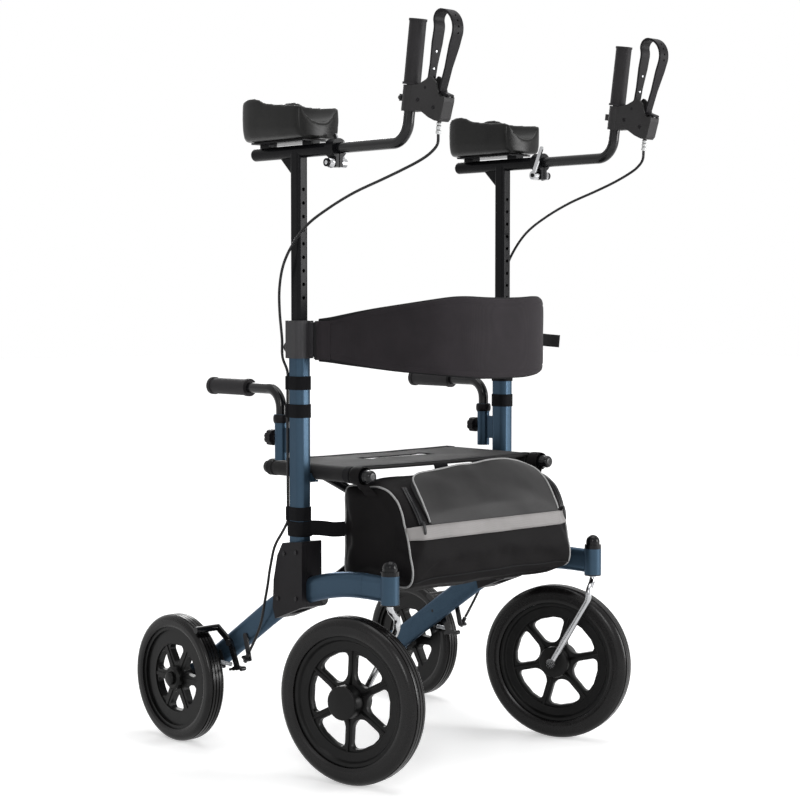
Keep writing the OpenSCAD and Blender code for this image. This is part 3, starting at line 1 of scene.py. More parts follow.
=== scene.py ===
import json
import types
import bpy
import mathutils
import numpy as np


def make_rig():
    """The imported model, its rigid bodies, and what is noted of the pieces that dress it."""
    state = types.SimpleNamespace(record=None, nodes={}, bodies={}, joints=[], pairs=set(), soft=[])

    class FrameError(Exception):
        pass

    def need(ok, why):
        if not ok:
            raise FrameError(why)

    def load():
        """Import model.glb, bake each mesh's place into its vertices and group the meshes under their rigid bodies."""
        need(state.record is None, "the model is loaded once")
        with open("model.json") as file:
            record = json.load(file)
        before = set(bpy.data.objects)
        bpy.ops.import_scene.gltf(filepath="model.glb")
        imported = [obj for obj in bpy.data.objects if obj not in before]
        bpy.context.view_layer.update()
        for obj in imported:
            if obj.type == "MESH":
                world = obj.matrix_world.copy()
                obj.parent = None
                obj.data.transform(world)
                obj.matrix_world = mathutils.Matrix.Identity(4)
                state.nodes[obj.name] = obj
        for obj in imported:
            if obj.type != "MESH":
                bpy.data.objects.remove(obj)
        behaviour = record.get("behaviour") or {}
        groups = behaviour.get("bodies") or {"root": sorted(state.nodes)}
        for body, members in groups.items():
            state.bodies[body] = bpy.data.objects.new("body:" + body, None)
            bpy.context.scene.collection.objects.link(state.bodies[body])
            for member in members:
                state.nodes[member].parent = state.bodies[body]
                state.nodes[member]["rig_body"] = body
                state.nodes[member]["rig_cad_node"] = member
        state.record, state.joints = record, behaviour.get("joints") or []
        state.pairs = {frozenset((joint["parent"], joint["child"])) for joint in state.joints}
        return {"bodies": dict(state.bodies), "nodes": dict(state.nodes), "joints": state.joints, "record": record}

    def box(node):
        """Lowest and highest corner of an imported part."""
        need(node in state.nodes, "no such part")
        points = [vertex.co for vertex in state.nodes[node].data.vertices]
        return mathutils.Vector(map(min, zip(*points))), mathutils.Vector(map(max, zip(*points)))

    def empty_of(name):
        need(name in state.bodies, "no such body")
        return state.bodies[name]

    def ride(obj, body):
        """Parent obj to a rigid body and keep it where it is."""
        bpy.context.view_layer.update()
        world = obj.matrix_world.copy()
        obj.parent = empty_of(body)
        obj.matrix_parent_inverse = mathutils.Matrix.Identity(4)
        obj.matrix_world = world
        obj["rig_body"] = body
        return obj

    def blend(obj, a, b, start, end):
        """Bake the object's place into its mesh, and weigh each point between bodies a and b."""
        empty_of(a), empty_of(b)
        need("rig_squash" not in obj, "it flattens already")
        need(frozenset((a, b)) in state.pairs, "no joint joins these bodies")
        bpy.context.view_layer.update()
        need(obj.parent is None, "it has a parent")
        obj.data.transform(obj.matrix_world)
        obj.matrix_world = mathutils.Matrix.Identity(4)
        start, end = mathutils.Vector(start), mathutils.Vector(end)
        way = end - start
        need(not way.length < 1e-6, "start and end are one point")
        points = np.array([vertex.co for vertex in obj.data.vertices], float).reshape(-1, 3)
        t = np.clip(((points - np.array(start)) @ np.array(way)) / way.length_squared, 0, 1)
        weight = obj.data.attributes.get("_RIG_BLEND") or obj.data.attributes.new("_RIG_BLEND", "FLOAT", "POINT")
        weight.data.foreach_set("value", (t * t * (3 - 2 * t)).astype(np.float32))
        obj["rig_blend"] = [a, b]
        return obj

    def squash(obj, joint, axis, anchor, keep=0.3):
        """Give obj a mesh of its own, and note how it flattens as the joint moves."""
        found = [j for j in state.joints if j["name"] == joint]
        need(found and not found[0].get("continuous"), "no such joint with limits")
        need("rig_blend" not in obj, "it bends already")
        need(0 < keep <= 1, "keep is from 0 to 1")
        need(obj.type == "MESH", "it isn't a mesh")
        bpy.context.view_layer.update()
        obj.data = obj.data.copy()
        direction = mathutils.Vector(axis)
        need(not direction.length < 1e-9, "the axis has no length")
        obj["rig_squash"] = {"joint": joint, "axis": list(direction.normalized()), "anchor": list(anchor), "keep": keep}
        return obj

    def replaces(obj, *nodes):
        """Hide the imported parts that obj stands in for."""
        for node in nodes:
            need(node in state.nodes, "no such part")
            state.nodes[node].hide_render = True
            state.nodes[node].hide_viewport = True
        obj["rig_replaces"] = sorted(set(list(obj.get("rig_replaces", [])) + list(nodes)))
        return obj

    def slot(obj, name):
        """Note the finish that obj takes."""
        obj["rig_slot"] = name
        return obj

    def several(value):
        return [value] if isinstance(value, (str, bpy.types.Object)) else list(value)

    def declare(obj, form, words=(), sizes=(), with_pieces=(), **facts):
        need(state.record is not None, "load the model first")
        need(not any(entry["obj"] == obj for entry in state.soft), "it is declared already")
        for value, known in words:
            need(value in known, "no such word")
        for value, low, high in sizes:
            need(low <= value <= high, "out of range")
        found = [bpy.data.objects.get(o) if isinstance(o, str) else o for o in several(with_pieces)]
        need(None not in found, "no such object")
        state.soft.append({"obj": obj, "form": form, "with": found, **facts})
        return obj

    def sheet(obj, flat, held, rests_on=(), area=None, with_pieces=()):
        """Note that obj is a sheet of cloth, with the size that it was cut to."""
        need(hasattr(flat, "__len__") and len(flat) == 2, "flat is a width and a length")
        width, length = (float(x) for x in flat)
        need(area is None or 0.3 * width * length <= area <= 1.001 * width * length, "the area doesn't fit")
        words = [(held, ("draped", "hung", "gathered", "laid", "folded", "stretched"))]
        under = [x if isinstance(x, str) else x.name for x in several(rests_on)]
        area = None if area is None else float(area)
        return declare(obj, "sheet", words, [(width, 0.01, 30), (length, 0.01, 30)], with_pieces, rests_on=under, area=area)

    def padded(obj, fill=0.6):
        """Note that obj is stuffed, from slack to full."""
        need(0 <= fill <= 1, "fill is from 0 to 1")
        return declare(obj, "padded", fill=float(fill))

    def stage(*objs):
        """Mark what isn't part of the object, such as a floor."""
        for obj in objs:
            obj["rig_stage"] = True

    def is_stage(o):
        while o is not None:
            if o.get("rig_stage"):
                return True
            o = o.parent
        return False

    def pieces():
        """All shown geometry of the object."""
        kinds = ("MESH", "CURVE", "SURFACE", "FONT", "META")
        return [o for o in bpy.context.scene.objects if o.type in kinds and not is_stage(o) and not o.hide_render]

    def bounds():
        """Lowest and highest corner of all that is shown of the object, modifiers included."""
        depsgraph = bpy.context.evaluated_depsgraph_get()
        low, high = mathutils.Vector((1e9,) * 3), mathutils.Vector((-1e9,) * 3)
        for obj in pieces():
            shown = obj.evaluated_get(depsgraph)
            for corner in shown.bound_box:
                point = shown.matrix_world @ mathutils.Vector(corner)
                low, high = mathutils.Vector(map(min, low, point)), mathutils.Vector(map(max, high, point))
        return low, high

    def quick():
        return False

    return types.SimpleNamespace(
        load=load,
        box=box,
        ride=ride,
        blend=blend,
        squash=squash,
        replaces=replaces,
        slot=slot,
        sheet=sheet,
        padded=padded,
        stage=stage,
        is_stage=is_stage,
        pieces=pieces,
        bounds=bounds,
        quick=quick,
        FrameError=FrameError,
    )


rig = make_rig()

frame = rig.load()

import json
import math

import bmesh
import bpy
from mathutils import Matrix, Vector
from mathutils.bvhtree import BVHTree

cadBox = [list(corner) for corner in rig.bounds()]
nodes = frame["nodes"]
sides = {"left": 1, "right": -1}
scene = bpy.context.scene
print("frame loaded with", len(nodes), "nodes")


# the photograph's camera, the floor's glow, and soft lamps by place, target, size and power
studio = {
    "lens": 84.84, "sensor": 36, "place": (-2.509, -2.71, 0.879), "tilt": 86.85, "turn": -42.68,
    "floorSize": 40.0, "ambient": 0.21, "glow": (0.43, 0.9), "glowReach": (1.0, 3.6),
    "floorTones": ((0.86, 0.86, 0.86), (0.88, 0.88, 0.88)),
    "lamps": {
        "keyLamp": ((2.5, -3.7, 1.3), (0, 0, 0.7), (1.8, 2.2), 150),
        "topLamp": ((0.2, -0.2, 4.2), (0, 0, 0.5), (3.0, 3.0), 85),
        "sideLamp": ((-3.4, -3.2, 2.4), (0, 0, 0.9), (0.8, 1.8), 55),
        "backLamp": ((2.4, 4.2, 2.6), (0, 0, 0.7), (1.8, 1.8), 55),
        "fillLamp": ((-4.4, -0.2, 1.6), (0, 0, 0.6), (0.8, 2.0), 10),
    },
}


def link(obj):
    scene.collection.objects.link(obj)
    return obj


cameraData = bpy.data.cameras.new("photoCamera")
cameraData.lens = studio["lens"]
cameraData.sensor_width = studio["sensor"]
camera = link(bpy.data.objects.new("photoCamera", cameraData))
camera.location = studio["place"]
camera.rotation_euler = (math.radians(studio["tilt"]), 0, math.radians(studio["turn"]))
scene.camera = camera
for lampName, (place, target, size, power) in studio["lamps"].items():
    lampData = bpy.data.lights.new(lampName, "AREA")
    lampData.shape = "RECTANGLE"
    lampData.size, lampData.size_y = size
    lampData.energy = power
    lamp = link(bpy.data.objects.new(lampName, lampData))
    lamp.location = place
    lamp.rotation_euler = (Vector(target) - Vector(place)).to_track_quat("-Z", "Y").to_euler()
print("camera and lamps placed")


# material helpers
def put(tree, kind, values=None, **settings):
    made = tree.nodes.new("ShaderNode" + kind)
    for name, value in settings.items():
        setattr(made, name, value)
    for name, value in (values or {}).items():
        socket = made.inputs[name]
        if isinstance(value, bpy.types.NodeSocket):
            tree.links.new(value, socket)
        else:
            socket.default_value = value
    return made


def startMaterial(name, sockets):
    material = bpy.data.materials.new(name)
    material.use_nodes = True
    tree = material.node_tree
    tree.nodes.clear()
    surface = put(tree, "BsdfPrincipled", sockets)
    put(tree, "OutputMaterial", {"Surface": surface.outputs["BSDF"]})
    return material, tree, surface


def combine(tree, operation, first, second):
    return put(tree, "Math", {0: first, 1: second}, operation=operation).outputs[0]


def mixColour(tree, factor, low, high):
    mix = put(tree, "Mix", data_type="RGBA")
    tree.links.new(factor, mix.inputs[0])
    mix.inputs[6].default_value = (*low, 1.0)
    mix.inputs[7].default_value = (*high, 1.0)
    return mix.outputs[2]


def mapped(tree, value, low, high, start=0.3, end=0.7):
    span = put(tree, "MapRange", {"Value": value, "From Min": start, "From Max": end, "To Min": low, "To Max": high})
    return span.outputs["Result"]


# colour and roughness follow a tone, and the relief follows a height
def dress(tree, surface, tone, low, high, rough, height, bump, depth):
    tree.links.new(mixColour(tree, mapped(tree, tone, 0, 1), low, high), surface.inputs["Base Color"])
    tree.links.new(mapped(tree, tone, *rough), surface.inputs["Roughness"])
    relief = put(tree, "Bump", {"Height": height, "Strength": bump, "Distance": depth})
    tree.links.new(relief.outputs["Normal"], surface.inputs["Normal"])


finishForm = {"grainShare": 0.18, "grainDepth": 0.0006, "threadShare": 0.1, "threadDepth": 0.0005, "clothCloud": 14.0,
              "threadScale": 0.314}


# moulded, painted and plated finishes: cloudy tone, uneven gloss and a fine grain
def grainFinish(name, low, high, rough, cloud, grain, bump, level, more=None):
    material, tree, surface = startMaterial(name, {"Specular IOR Level": level, **(more or {})})
    where = put(tree, "TexCoord").outputs["Object"]
    clouds = put(tree, "TexNoise", {"Vector": where, "Scale": cloud, "Detail": 5.0, "Roughness": 0.6}).outputs["Fac"]
    grains = put(tree, "TexNoise", {"Vector": where, "Scale": grain, "Detail": 2.0}).outputs["Fac"]
    share = finishForm["grainShare"]
    tone = combine(tree, "ADD", clouds, mapped(tree, grains, -share, share))
    dress(tree, surface, tone, low, high, rough, grains, bump, finishForm["grainDepth"])
    return material


# woven cloth: threads along all three axes, so that every panel shows a grid
def weaveFinish(name, low, high, rough, pitch, bump, level, more=None):
    material, tree, surface = startMaterial(name, {"Specular IOR Level": level, **(more or {})})
    where = put(tree, "TexCoord").outputs["Object"]
    threads = None
    for axis in "XYZ":
        wave = put(tree, "TexWave", {"Vector": where, "Scale": finishForm["threadScale"] / pitch, "Distortion": 0.6,
                                     "Detail": 1.0}, bands_direction=axis).outputs["Fac"]
        threads = wave if threads is None else combine(tree, "ADD", threads, wave)
    clouds = put(tree, "TexNoise", {"Vector": where, "Scale": finishForm["clothCloud"], "Detail": 4.0}).outputs["Fac"]
    weave = mapped(tree, threads, 0, 1, 0.6, 2.4)
    share = finishForm["threadShare"]
    tone = combine(tree, "ADD", clouds, mapped(tree, weave, -share, share, 0, 1))
    dress(tree, surface, tone, low, high, rough, weave, bump, finishForm["threadDepth"])
    return material


# two tones, roughness from and to, cloud and grain scale, relief, specular level, and other sockets if any
grainRows = {
    "bluePaint": ((0.029, 0.053, 0.081), (0.039, 0.068, 0.1), (0.27, 0.35), 6, 1600, 0.03, 0.3,
                  {"Metallic": 0.55, "Specular Tint": (0.35, 0.45, 0.6, 1)}),
    "mastBlack": ((0.004, 0.004, 0.005), (0.009, 0.009, 0.01), (0.2, 0.32), 8, 1400, 0.05, 0.07),
    "tubeBlack": ((0.004, 0.004, 0.005), (0.009, 0.009, 0.01), (0.15, 0.24), 8, 1400, 0.05, 0.26),
    "coverBlack": ((0.008, 0.0075, 0.0085), (0.015, 0.014, 0.016), (0.4, 0.54), 10, 1100, 0.16, 0.1),
    "collarGrey": ((0.024, 0.023, 0.025), (0.038, 0.037, 0.04), (0.34, 0.46), 10, 1200, 0.12, 0.26),
    "domeBlack": ((0.003, 0.003, 0.004), (0.007, 0.007, 0.008), (0.08, 0.14), 8, 900, 0.02, 0.16),
    "rimBlack": ((0.003, 0.003, 0.003), (0.007, 0.007, 0.007), (0.28, 0.42), 12, 900, 0.12, 0.16),
    "tyreBlack": ((0.004, 0.0037, 0.0038), (0.008, 0.0074, 0.0076), (0.2, 0.3), 14, 700, 0.1, 0.22),
    "gripBlack": ((0.013, 0.0122, 0.0132), (0.027, 0.0255, 0.0275), (0.5, 0.7), 20, 520, 0.45, 0.18),
    "housingGrey": ((0.018, 0.0172, 0.0178), (0.032, 0.031, 0.032), (0.46, 0.6), 14, 1000, 0.2, 0.2),
    "padSkin": ((0.005, 0.005, 0.005), (0.01, 0.01, 0.0095), (0.24, 0.36), 9, 800, 0.08, 0.16),
    "sheathBlack": ((0.004, 0.004, 0.005), (0.009, 0.009, 0.01), (0.25, 0.4), 20, 900, 0.05, 0.24),
    "chrome": ((0.34, 0.35, 0.36), (0.5, 0.5, 0.51), (0.08, 0.2), 12, 700, 0.02, 0.5, {"Metallic": 1.0}),
    "steel": ((0.32, 0.33, 0.35), (0.48, 0.49, 0.5), (0.22, 0.38), 14, 800, 0.06, 0.5, {"Metallic": 1.0}),
    "boltBlack": ((0.01, 0.01, 0.011), (0.024, 0.024, 0.026), (0.3, 0.44), 16, 900, 0.08, 0.2, {"Metallic": 0.4}),
    "zipBlack": ((0.004, 0.004, 0.005), (0.012, 0.012, 0.013), (0.3, 0.45), 30, 900, 0.1, 0.24),
    "clearNylon": ((0.55, 0.56, 0.56), (0.72, 0.73, 0.73), (0.2, 0.32), 40, 900, 0.05, 0.5,
                   {"Subsurface Weight": 0.2, "Subsurface Radius": (0.004, 0.004, 0.004)}),
}
# two tones, roughness from and to, thread pitch, relief, specular level, and other sockets if any
weaveRows = {
    "bandCloth": ((0.003, 0.003, 0.004), (0.008, 0.008, 0.009), (0.7, 0.9), 0.0016, 0.4, 0.1),
    "seatCloth": ((0.012, 0.0115, 0.012), (0.024, 0.023, 0.0235), (0.6, 0.78), 0.0024, 0.3, 0.14,
                  {"Sheen Weight": 0.03}),
    "backCloth": ((0.023, 0.0203, 0.0226), (0.034, 0.0302, 0.0334), (0.6, 0.78), 0.0012, 0.14, 0.05,
                  {"Sheen Weight": 0.03}),
    "bindingCloth": ((0.006, 0.006, 0.0065), (0.012, 0.012, 0.013), (0.6, 0.8), 0.0016, 0.4, 0.12),
    "bagCloth": ((0.0055, 0.005, 0.0053), (0.011, 0.0102, 0.0106), (0.5, 0.68), 0.0012, 0.16, 0.05),
    "flapCloth": ((0.024, 0.0235, 0.0238), (0.037, 0.0362, 0.0366), (0.4, 0.54), 0.001, 0.08, 0.12),
    "pipingGrey": ((0.24, 0.24, 0.24), (0.36, 0.36, 0.36), (0.5, 0.66), 0.0012, 0.3, 0.5),
    "reflectStrip": ((0.205, 0.196, 0.193), (0.275, 0.264, 0.26), (0.4, 0.54), 0.001, 0.12, 0.2),
}
finishes = {name: grainFinish(name, *row) for name, row in grainRows.items()}
finishes.update({name: weaveFinish(name, *row) for name, row in weaveRows.items()})
print("finishes made:", len(finishes))

# the CAD solids that wear each finish, by their names without the side
wornBy = {
    "bluePaint": "base_arch post", "coverBlack": "joint_cover height_knob brake_lever handle_knob",
    "collarGrey": "collar", "domeBlack": "head_set", "bandCloth": "cable_bands", "sheathBlack": "brake_cable",
    "boltBlack": "frame_hardware", "steel": "brake_spring cross_pivot", "mastBlack": "mast", "padSkin": "arm_pad",
    "chrome": "clamp_lever fork", "gripBlack": "hand_grip push_grip", "housingGrey": "brake_housing",
    "tubeBlack": "handle_tube push_tube brake_arm seat_rail cross_bar_a cross_bar_b",
    "tyreBlack": "front_tyre rear_tyre", "rimBlack": "front_rim rear_rim", "seatCloth": "seat_cloth",
    "backCloth": "backrest", "bagCloth": "bag",
}
wornFinish = {worn: finish for finish, names in wornBy.items() for worn in names.split()}
for nodeName, obj in nodes.items():
    plain = nodeName.split("_", 1)[1] if nodeName.split("_", 1)[0] in sides else nodeName
    obj.data.materials.clear()
    obj.data.materials.append(finishes[wornFinish[plain]])
print("CAD solids dressed")


# mesh helpers
def asObject(name, bm, finish, smooth=True):
    mesh = bpy.data.meshes.new(name)
    bm.to_mesh(mesh)
    bm.free()
    for face in mesh.polygons:
        face.use_smooth = smooth
    mesh.materials.append(finishes[finish])
    return link(bpy.data.objects.new(name, mesh))


def fasten(piece, body, slotName):
    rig.ride(piece, body)
    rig.slot(piece, slotName)


# rides a body, and is squashed along x as the walker folds
def squashWith(piece, body, form, slotName):
    fasten(piece, body, slotName)
    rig.squash(piece, "fold", axis=(1, 0, 0), anchor=form["anchor"], keep=form["keep"])


def settle(bm, gap=1e-6):
    bmesh.ops.remove_doubles(bm, verts=bm.verts, dist=gap)
    bmesh.ops.recalc_face_normals(bm, faces=bm.faces)


def bakeModifiers(obj):
    graph = bpy.context.evaluated_depsgraph_get()
    mesh = bpy.data.meshes.new_from_object(obj.evaluated_get(graph))
    obj.modifiers.clear()
    obj.data = mesh
    for face in mesh.polygons:
        face.use_smooth = True


def thicken(obj, thick):
    wall = obj.modifiers.new("wall", "SOLIDIFY")
    wall.thickness = thick
    wall.offset = 0
    bakeModifiers(obj)


def addVoxels(obj, size):
    remesh = obj.modifiers.new("voxels", "REMESH")
    remesh.mode = "VOXEL"
    remesh.voxel_size = size


def addSoftening(obj, rounds):
    soften = obj.modifiers.new("soften", "SMOOTH")
    soften.factor = 0.5
    soften.iterations = rounds


# a grid whose points are laid by a function of its two shares
def layGrid(across, along, place):
    bm = bmesh.new()
    bmesh.ops.create_grid(bm, x_segments=across, y_segments=along, size=0.5)
    for vert in bm.verts:
        vert.co = place(vert.co.x + 0.5, vert.co.y + 0.5)
    return bm


# extrudes a row of edges, and gives the new edges and points
def grow(bm, edges):
    grown = bmesh.ops.extrude_edge_only(bm, edges=edges)["geom"]
    return ([item for item in grown if isinstance(item, bmesh.types.BMEdge)],
            [item for item in grown if isinstance(item, bmesh.types.BMVert)])


def fillRings(bm, *rings):
    for ring in rings:
        bmesh.ops.contextual_create(bm, geom=ring)


def edgesAt(verts):
    return list({edge for vert in verts for edge in vert.link_edges})


def bevel(bm, geom, offset, segments, affect="EDGES"):
    bmesh.ops.bevel(bm, geom=geom, offset=offset, offset_type="OFFSET", segments=segments, profile=0.5, affect=affect,
                    material=-1)


# points round a ring, each placed by the cosine and sine of its turn
def ringOf(count, place):
    turns = [2 * math.pi * i / count for i in range(count)]
    return [place(math.cos(turn), math.sin(turn)) for turn in turns]


def framesAlong(points, up, closed):
    frames = []
    count = len(points)
    for i, point in enumerate(points):
        after = points[(i + 1) % count] if closed or i + 1 < count else point
        before = points[i - 1] if closed or i > 0 else point
        run = (after - before).normalized()
        side = run.cross(Vector(up)).normalized()
        rise = side.cross(run)
        frames.append(Matrix((side, rise, run)).transposed().to_4x4())
        frames[-1].translation = point
    return frames


# a section carried along points: the ring is extruded and turned from place to place
def sweep(points, width, height, segments=10, up=(1, 0, 0), closed=False):
    frames = framesAlong([Vector(point) for point in points], up, closed)
    bm = bmesh.new()
    made = bmesh.ops.create_circle(bm, segments=segments, radius=0.5)["verts"]
    bmesh.ops.rotate(bm, verts=made, cent=(0, 0, 0), matrix=Matrix.Rotation(math.pi / segments, 3, "Z"))
    fit = 1 / math.cos(math.pi / segments)
    bmesh.ops.scale(bm, verts=made, vec=(width * fit, height * fit, 1))
    bmesh.ops.transform(bm, matrix=frames[0], verts=made)
    edges = firstEdges = edgesAt(made)
    last = frames[0]
    for step in frames[1:] + (frames[:1] if closed else []):
        edges, verts = grow(bm, edges)
        bmesh.ops.transform(bm, matrix=step @ last.inverted(), verts=verts)
        last = step
    if not closed:
        fillRings(bm, firstEdges, edges)
    settle(bm)
    return bm


# a flat web on edge: thick across its run and tall along z
def upright(points, thick, tall, segments=12, closed=False):
    return sweep(points, thick, tall, segments, (0, 0, 1), closed)


# a turned piece between two points, from rings of (share of its length, radius)
def turnedPiece(start, end, rings, segments):
    run = end - start
    bm = bmesh.new()
    first = bmesh.ops.create_circle(bm, segments=segments, radius=rings[0][1])["verts"]
    edges = firstEdges = edgesAt(first)
    bmesh.ops.translate(bm, verts=first, vec=(0, 0, rings[0][0]))
    for (before, was), (share, radius) in zip(rings, rings[1:]):
        edges, verts = grow(bm, edges)
        bmesh.ops.scale(bm, verts=verts, vec=(radius / was, radius / was, 1))
        bmesh.ops.translate(bm, verts=verts, vec=(0, 0, share - before))
    fillRings(bm, firstEdges, edges)
    bmesh.ops.scale(bm, verts=bm.verts, vec=(1, 1, run.length))
    place = run.to_track_quat("Z", "Y").to_matrix().to_4x4()
    place.translation = start
    bmesh.ops.transform(bm, matrix=place, verts=bm.verts)
    settle(bm)
    return bm


def curveThrough(points, steps):
    points = [Vector(point) for point in points]
    count = len(points) - 1
    smooth = []
    for i in range(steps + 1):
        share = i / steps * count
        k = min(int(share), count - 1)
        t = share - k
        a, b, c, d = points[max(k - 1, 0)], points[k], points[k + 1], points[min(k + 2, count)]
        smooth.append(0.5 * (2 * b + (c - a) * t + (2 * a - 5 * b + 4 * c - d) * t * t
                             + (3 * b - a - 3 * c + d) * t ** 3))
    return smooth


# each point becomes the mean of those within reach of it
def evened(line, reach, closed):
    count = len(line)
    window = range(-reach, reach + 1)
    return [sum((line[(i + k) % count if closed else min(max(i + k, 0), count - 1)] for k in window), Vector())
            / len(window) for i in range(count)]


def mirrored(points, sign):
    return [(sign * x, y, z) for x, y, z in points]


def within(pair, share):
    return pair[0] + (pair[1] - pair[0]) * share


# reads a table of (share, value) rows
def between(table, share, eased=False):
    for (a, low), (b, high) in zip(table, table[1:]):
        if share <= b:
            part = max(0.0, (share - a) / (b - a))
            return low + (high - low) * (part * part * (3 - 2 * part) if eased else part)
    return table[-1][1]


# a power that keeps the sign, for squarish rings
def squarish(value, power):
    return math.copysign(abs(value) ** power, value)


# a place in the side frame's own millimetres
sideForm = {"x": 0.27, "y": -0.006}


def sidePoint(sign, x, y, z):
    return Vector((sign * (sideForm["x"] + x / 1000), y / 1000 + sideForm["y"], z / 1000))


# forearm pads: the solid's trough, rounded over as moulded foam, with ends that swell by (reach, swell)
padForm = {"voxel": 0.0032, "smooth": 9, "front": (0.4, 0.011), "rear": (0.3, 0.009), "fill": 0.9}
for side in sides:
    low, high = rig.box(side + "_arm_pad")
    middleX, halfWide, long = (low[0] + high[0]) / 2, (high[0] - low[0]) / 2, high[1] - low[1]
    (frontReach, frontSwell), (rearReach, rearSwell) = padForm["front"], padForm["rear"]
    bm = bmesh.new()
    bm.from_mesh(nodes[side + "_arm_pad"].data)
    settle(bm, 1e-5)
    pad = asObject(side + "ArmPad", bm, "padSkin")
    addVoxels(pad, padForm["voxel"])
    addSoftening(pad, padForm["smooth"])
    bakeModifiers(pad)
    for vert in pad.data.vertices:
        bulge = max(0.0, 1 - ((vert.co.x - middleX) / halfWide) ** 2)
        toFront = max(0.0, 1 - (vert.co.y - low[1]) / (frontReach * long)) ** 2
        toRear = max(0.0, 1 - (high[1] - vert.co.y) / (rearReach * long)) ** 2
        vert.co.y += bulge * (toRear * rearSwell - toFront * frontSwell)
    fasten(pad, side + "_mast", "pad_skin")
    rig.replaces(pad, side + "_arm_pad")
    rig.padded(pad, fill=padForm["fill"])
print("forearm pads made")


# seat: cloth sewn round the rails, with hems, a rolled front edge and a hand slot that narrows in the middle
seatForm = {
    "railX": 0.235, "railZ": 0.551, "sleeveR": 0.0139, "wrap": (62, 332, 24), "span": 48, "rows": 60,
    "front": -0.118, "back": 0.12, "sag": 0.0015, "droop": 0.0005, "fall": (0.05, 0.06), "ripple": (0.0003, 41, 23),
    "thick": 0.0018, "hem": 0.016, "hemLap": 0.001, "hemGain": 2.1, "roll": (0.01, 0.008), "rollIn": (0.008, 0.003),
    "slot": (0.182, 0.042), "slotY": 0.024, "slotEnds": 2.2, "topRise": 0.003, "waist": (0.0125, 0.06, 0.016),
    "binding": (0.006, 0.0024),
    "brace": {"y": 0.01, "back": 0.006, "lean": 27, "r": 0.0125, "below": 0.008},
    "held": (0.215, 0, 0.565), "flat": (0.62, 0.238),
}
slotLong, slotWide = seatForm["slot"]
railX, railZ = seatForm["railX"], seatForm["railZ"]


def seatTop(form, x):
    return form["railZ"] + form["sleeveR"] - form["sag"] * (1 - (x / form["railX"]) ** 2)


def seatPath(form):
    start, swing, steps = form["wrap"]
    wrapped = []
    for i in range(steps + 1):                            # round the right rail, from its underside outwards
        turn = math.radians(start - i / steps * swing)
        wrapped.append((-form["railX"] + form["sleeveR"] * math.cos(turn),
                        form["railZ"] + form["sleeveR"] * math.sin(turn)))
    across = [-form["railX"] + 2 * form["railX"] * i / form["span"] for i in range(1, form["span"])]
    return wrapped + [(x, seatTop(form, x)) for x in across] + [(-x, z) for x, z in reversed(wrapped)]


def layCloth(form, start, end, rows):
    path = seatPath(form)
    count = len(path) - 1
    frontFall, backFall = form["fall"]
    height, alongX, alongY = form["ripple"]

    def place(across, along):
        x, z = path[min(round(across * count), count)]
        y = within((start, end), along)
        middle = max(0.0, 1 - (x / form["railX"]) ** 2)
        edge = max(0.0, 1 - (y - form["front"]) / frontFall) ** 2 + max(0.0, 1 - (form["back"] - y) / backFall) ** 2
        ripple = height * math.sin(x * alongX + y * alongY) * middle
        return Vector((x, y, z - middle * form["droop"] * edge + ripple))

    return layGrid(count, rows, place)


def slotHalf(x):
    narrow, reach, ease = seatForm["waist"]
    return narrow + (slotWide / 2 - narrow) * min(1.0, max(0.0, (abs(x) - reach) / ease))


# whether a place of the cloth lies in the hand slot, or where a brace bar meets its rail
def isOpen(place):
    onTop = place.z > railZ + seatForm["topRise"] and abs(place.x) < slotLong / 2
    if onTop and abs(place.y - seatForm["slotY"]) < slotHalf(place.x):
        return True
    brace = seatForm["brace"]
    lean = math.radians(brace["lean"])
    for sign in sides.values():
        bar = Vector((-sign * math.cos(lean), 0, -math.sin(lean)))
        reach = place - Vector((sign * railX, sign * brace["y"] - brace["back"], railZ))
        away = (reach - bar * reach.dot(bar)).length
        if reach.dot(bar) > 0 and away < brace["r"] and place.z < railZ + brace["below"]:
            return True
    return False


seatBm = layCloth(seatForm, seatForm["front"], seatForm["back"], seatForm["rows"])
openFaces = [face for face in seatBm.faces if isOpen(face.calc_center_median())]
bmesh.ops.delete(seatBm, geom=openFaces, context="FACES")
settle(seatBm)
seat = asObject("seatCloth", seatBm, "seatCloth")
thicken(seat, seatForm["thick"])
seatPieces = [seat]
lap = seatForm["hemLap"]
for name, start in (("seatFrontHem", seatForm["front"] - lap), ("seatRearHem", seatForm["back"] - seatForm["hem"])):
    hem = asObject(name, layCloth(seatForm, start, start + seatForm["hem"] + lap, 6), "bindingCloth")
    thicken(hem, seatForm["thick"] * seatForm["hemGain"])
    seatPieces.append(hem)


def slotPoint(cosine, sine):
    x = cosine * slotLong / 2
    y = seatForm["slotY"] + max(-1.0, min(1.0, seatForm["slotEnds"] * sine)) * slotHalf(x)
    return x, y, seatTop(seatForm, x)


slotPath = ringOf(48, slotPoint)
seatPieces.append(asObject("seatSlotBinding", upright(slotPath, *seatForm["binding"], 8, True), "bindingCloth"))
rollPath = []
inX, inY = seatForm["rollIn"]
for i in range(49):
    x = (i / 24 - 1) * (railX - inX)
    low = seatTop(seatForm, x) - seatForm["roll"][1] / 2 + seatForm["thick"]
    rollPath.append((x, seatForm["front"] + inY, low))
seatPieces.append(asObject("seatFrontRoll", upright(rollPath, *seatForm["roll"], 16), "seatCloth"))
rightEnd, leftEnd = mirrored([seatForm["held"]], -1)[0], seatForm["held"]
for piece in seatPieces:
    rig.blend(piece, "brace_b", "brace_a", rightEnd, leftEnd)
    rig.slot(piece, "seat_fabric")
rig.replaces(seat, "seat_cloth")
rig.sheet(seat, flat=seatForm["flat"], held="stretched", rests_on=["left_seat_rail", "right_seat_rail"],
         with_pieces=seatPieces[1:])
print("seat made")


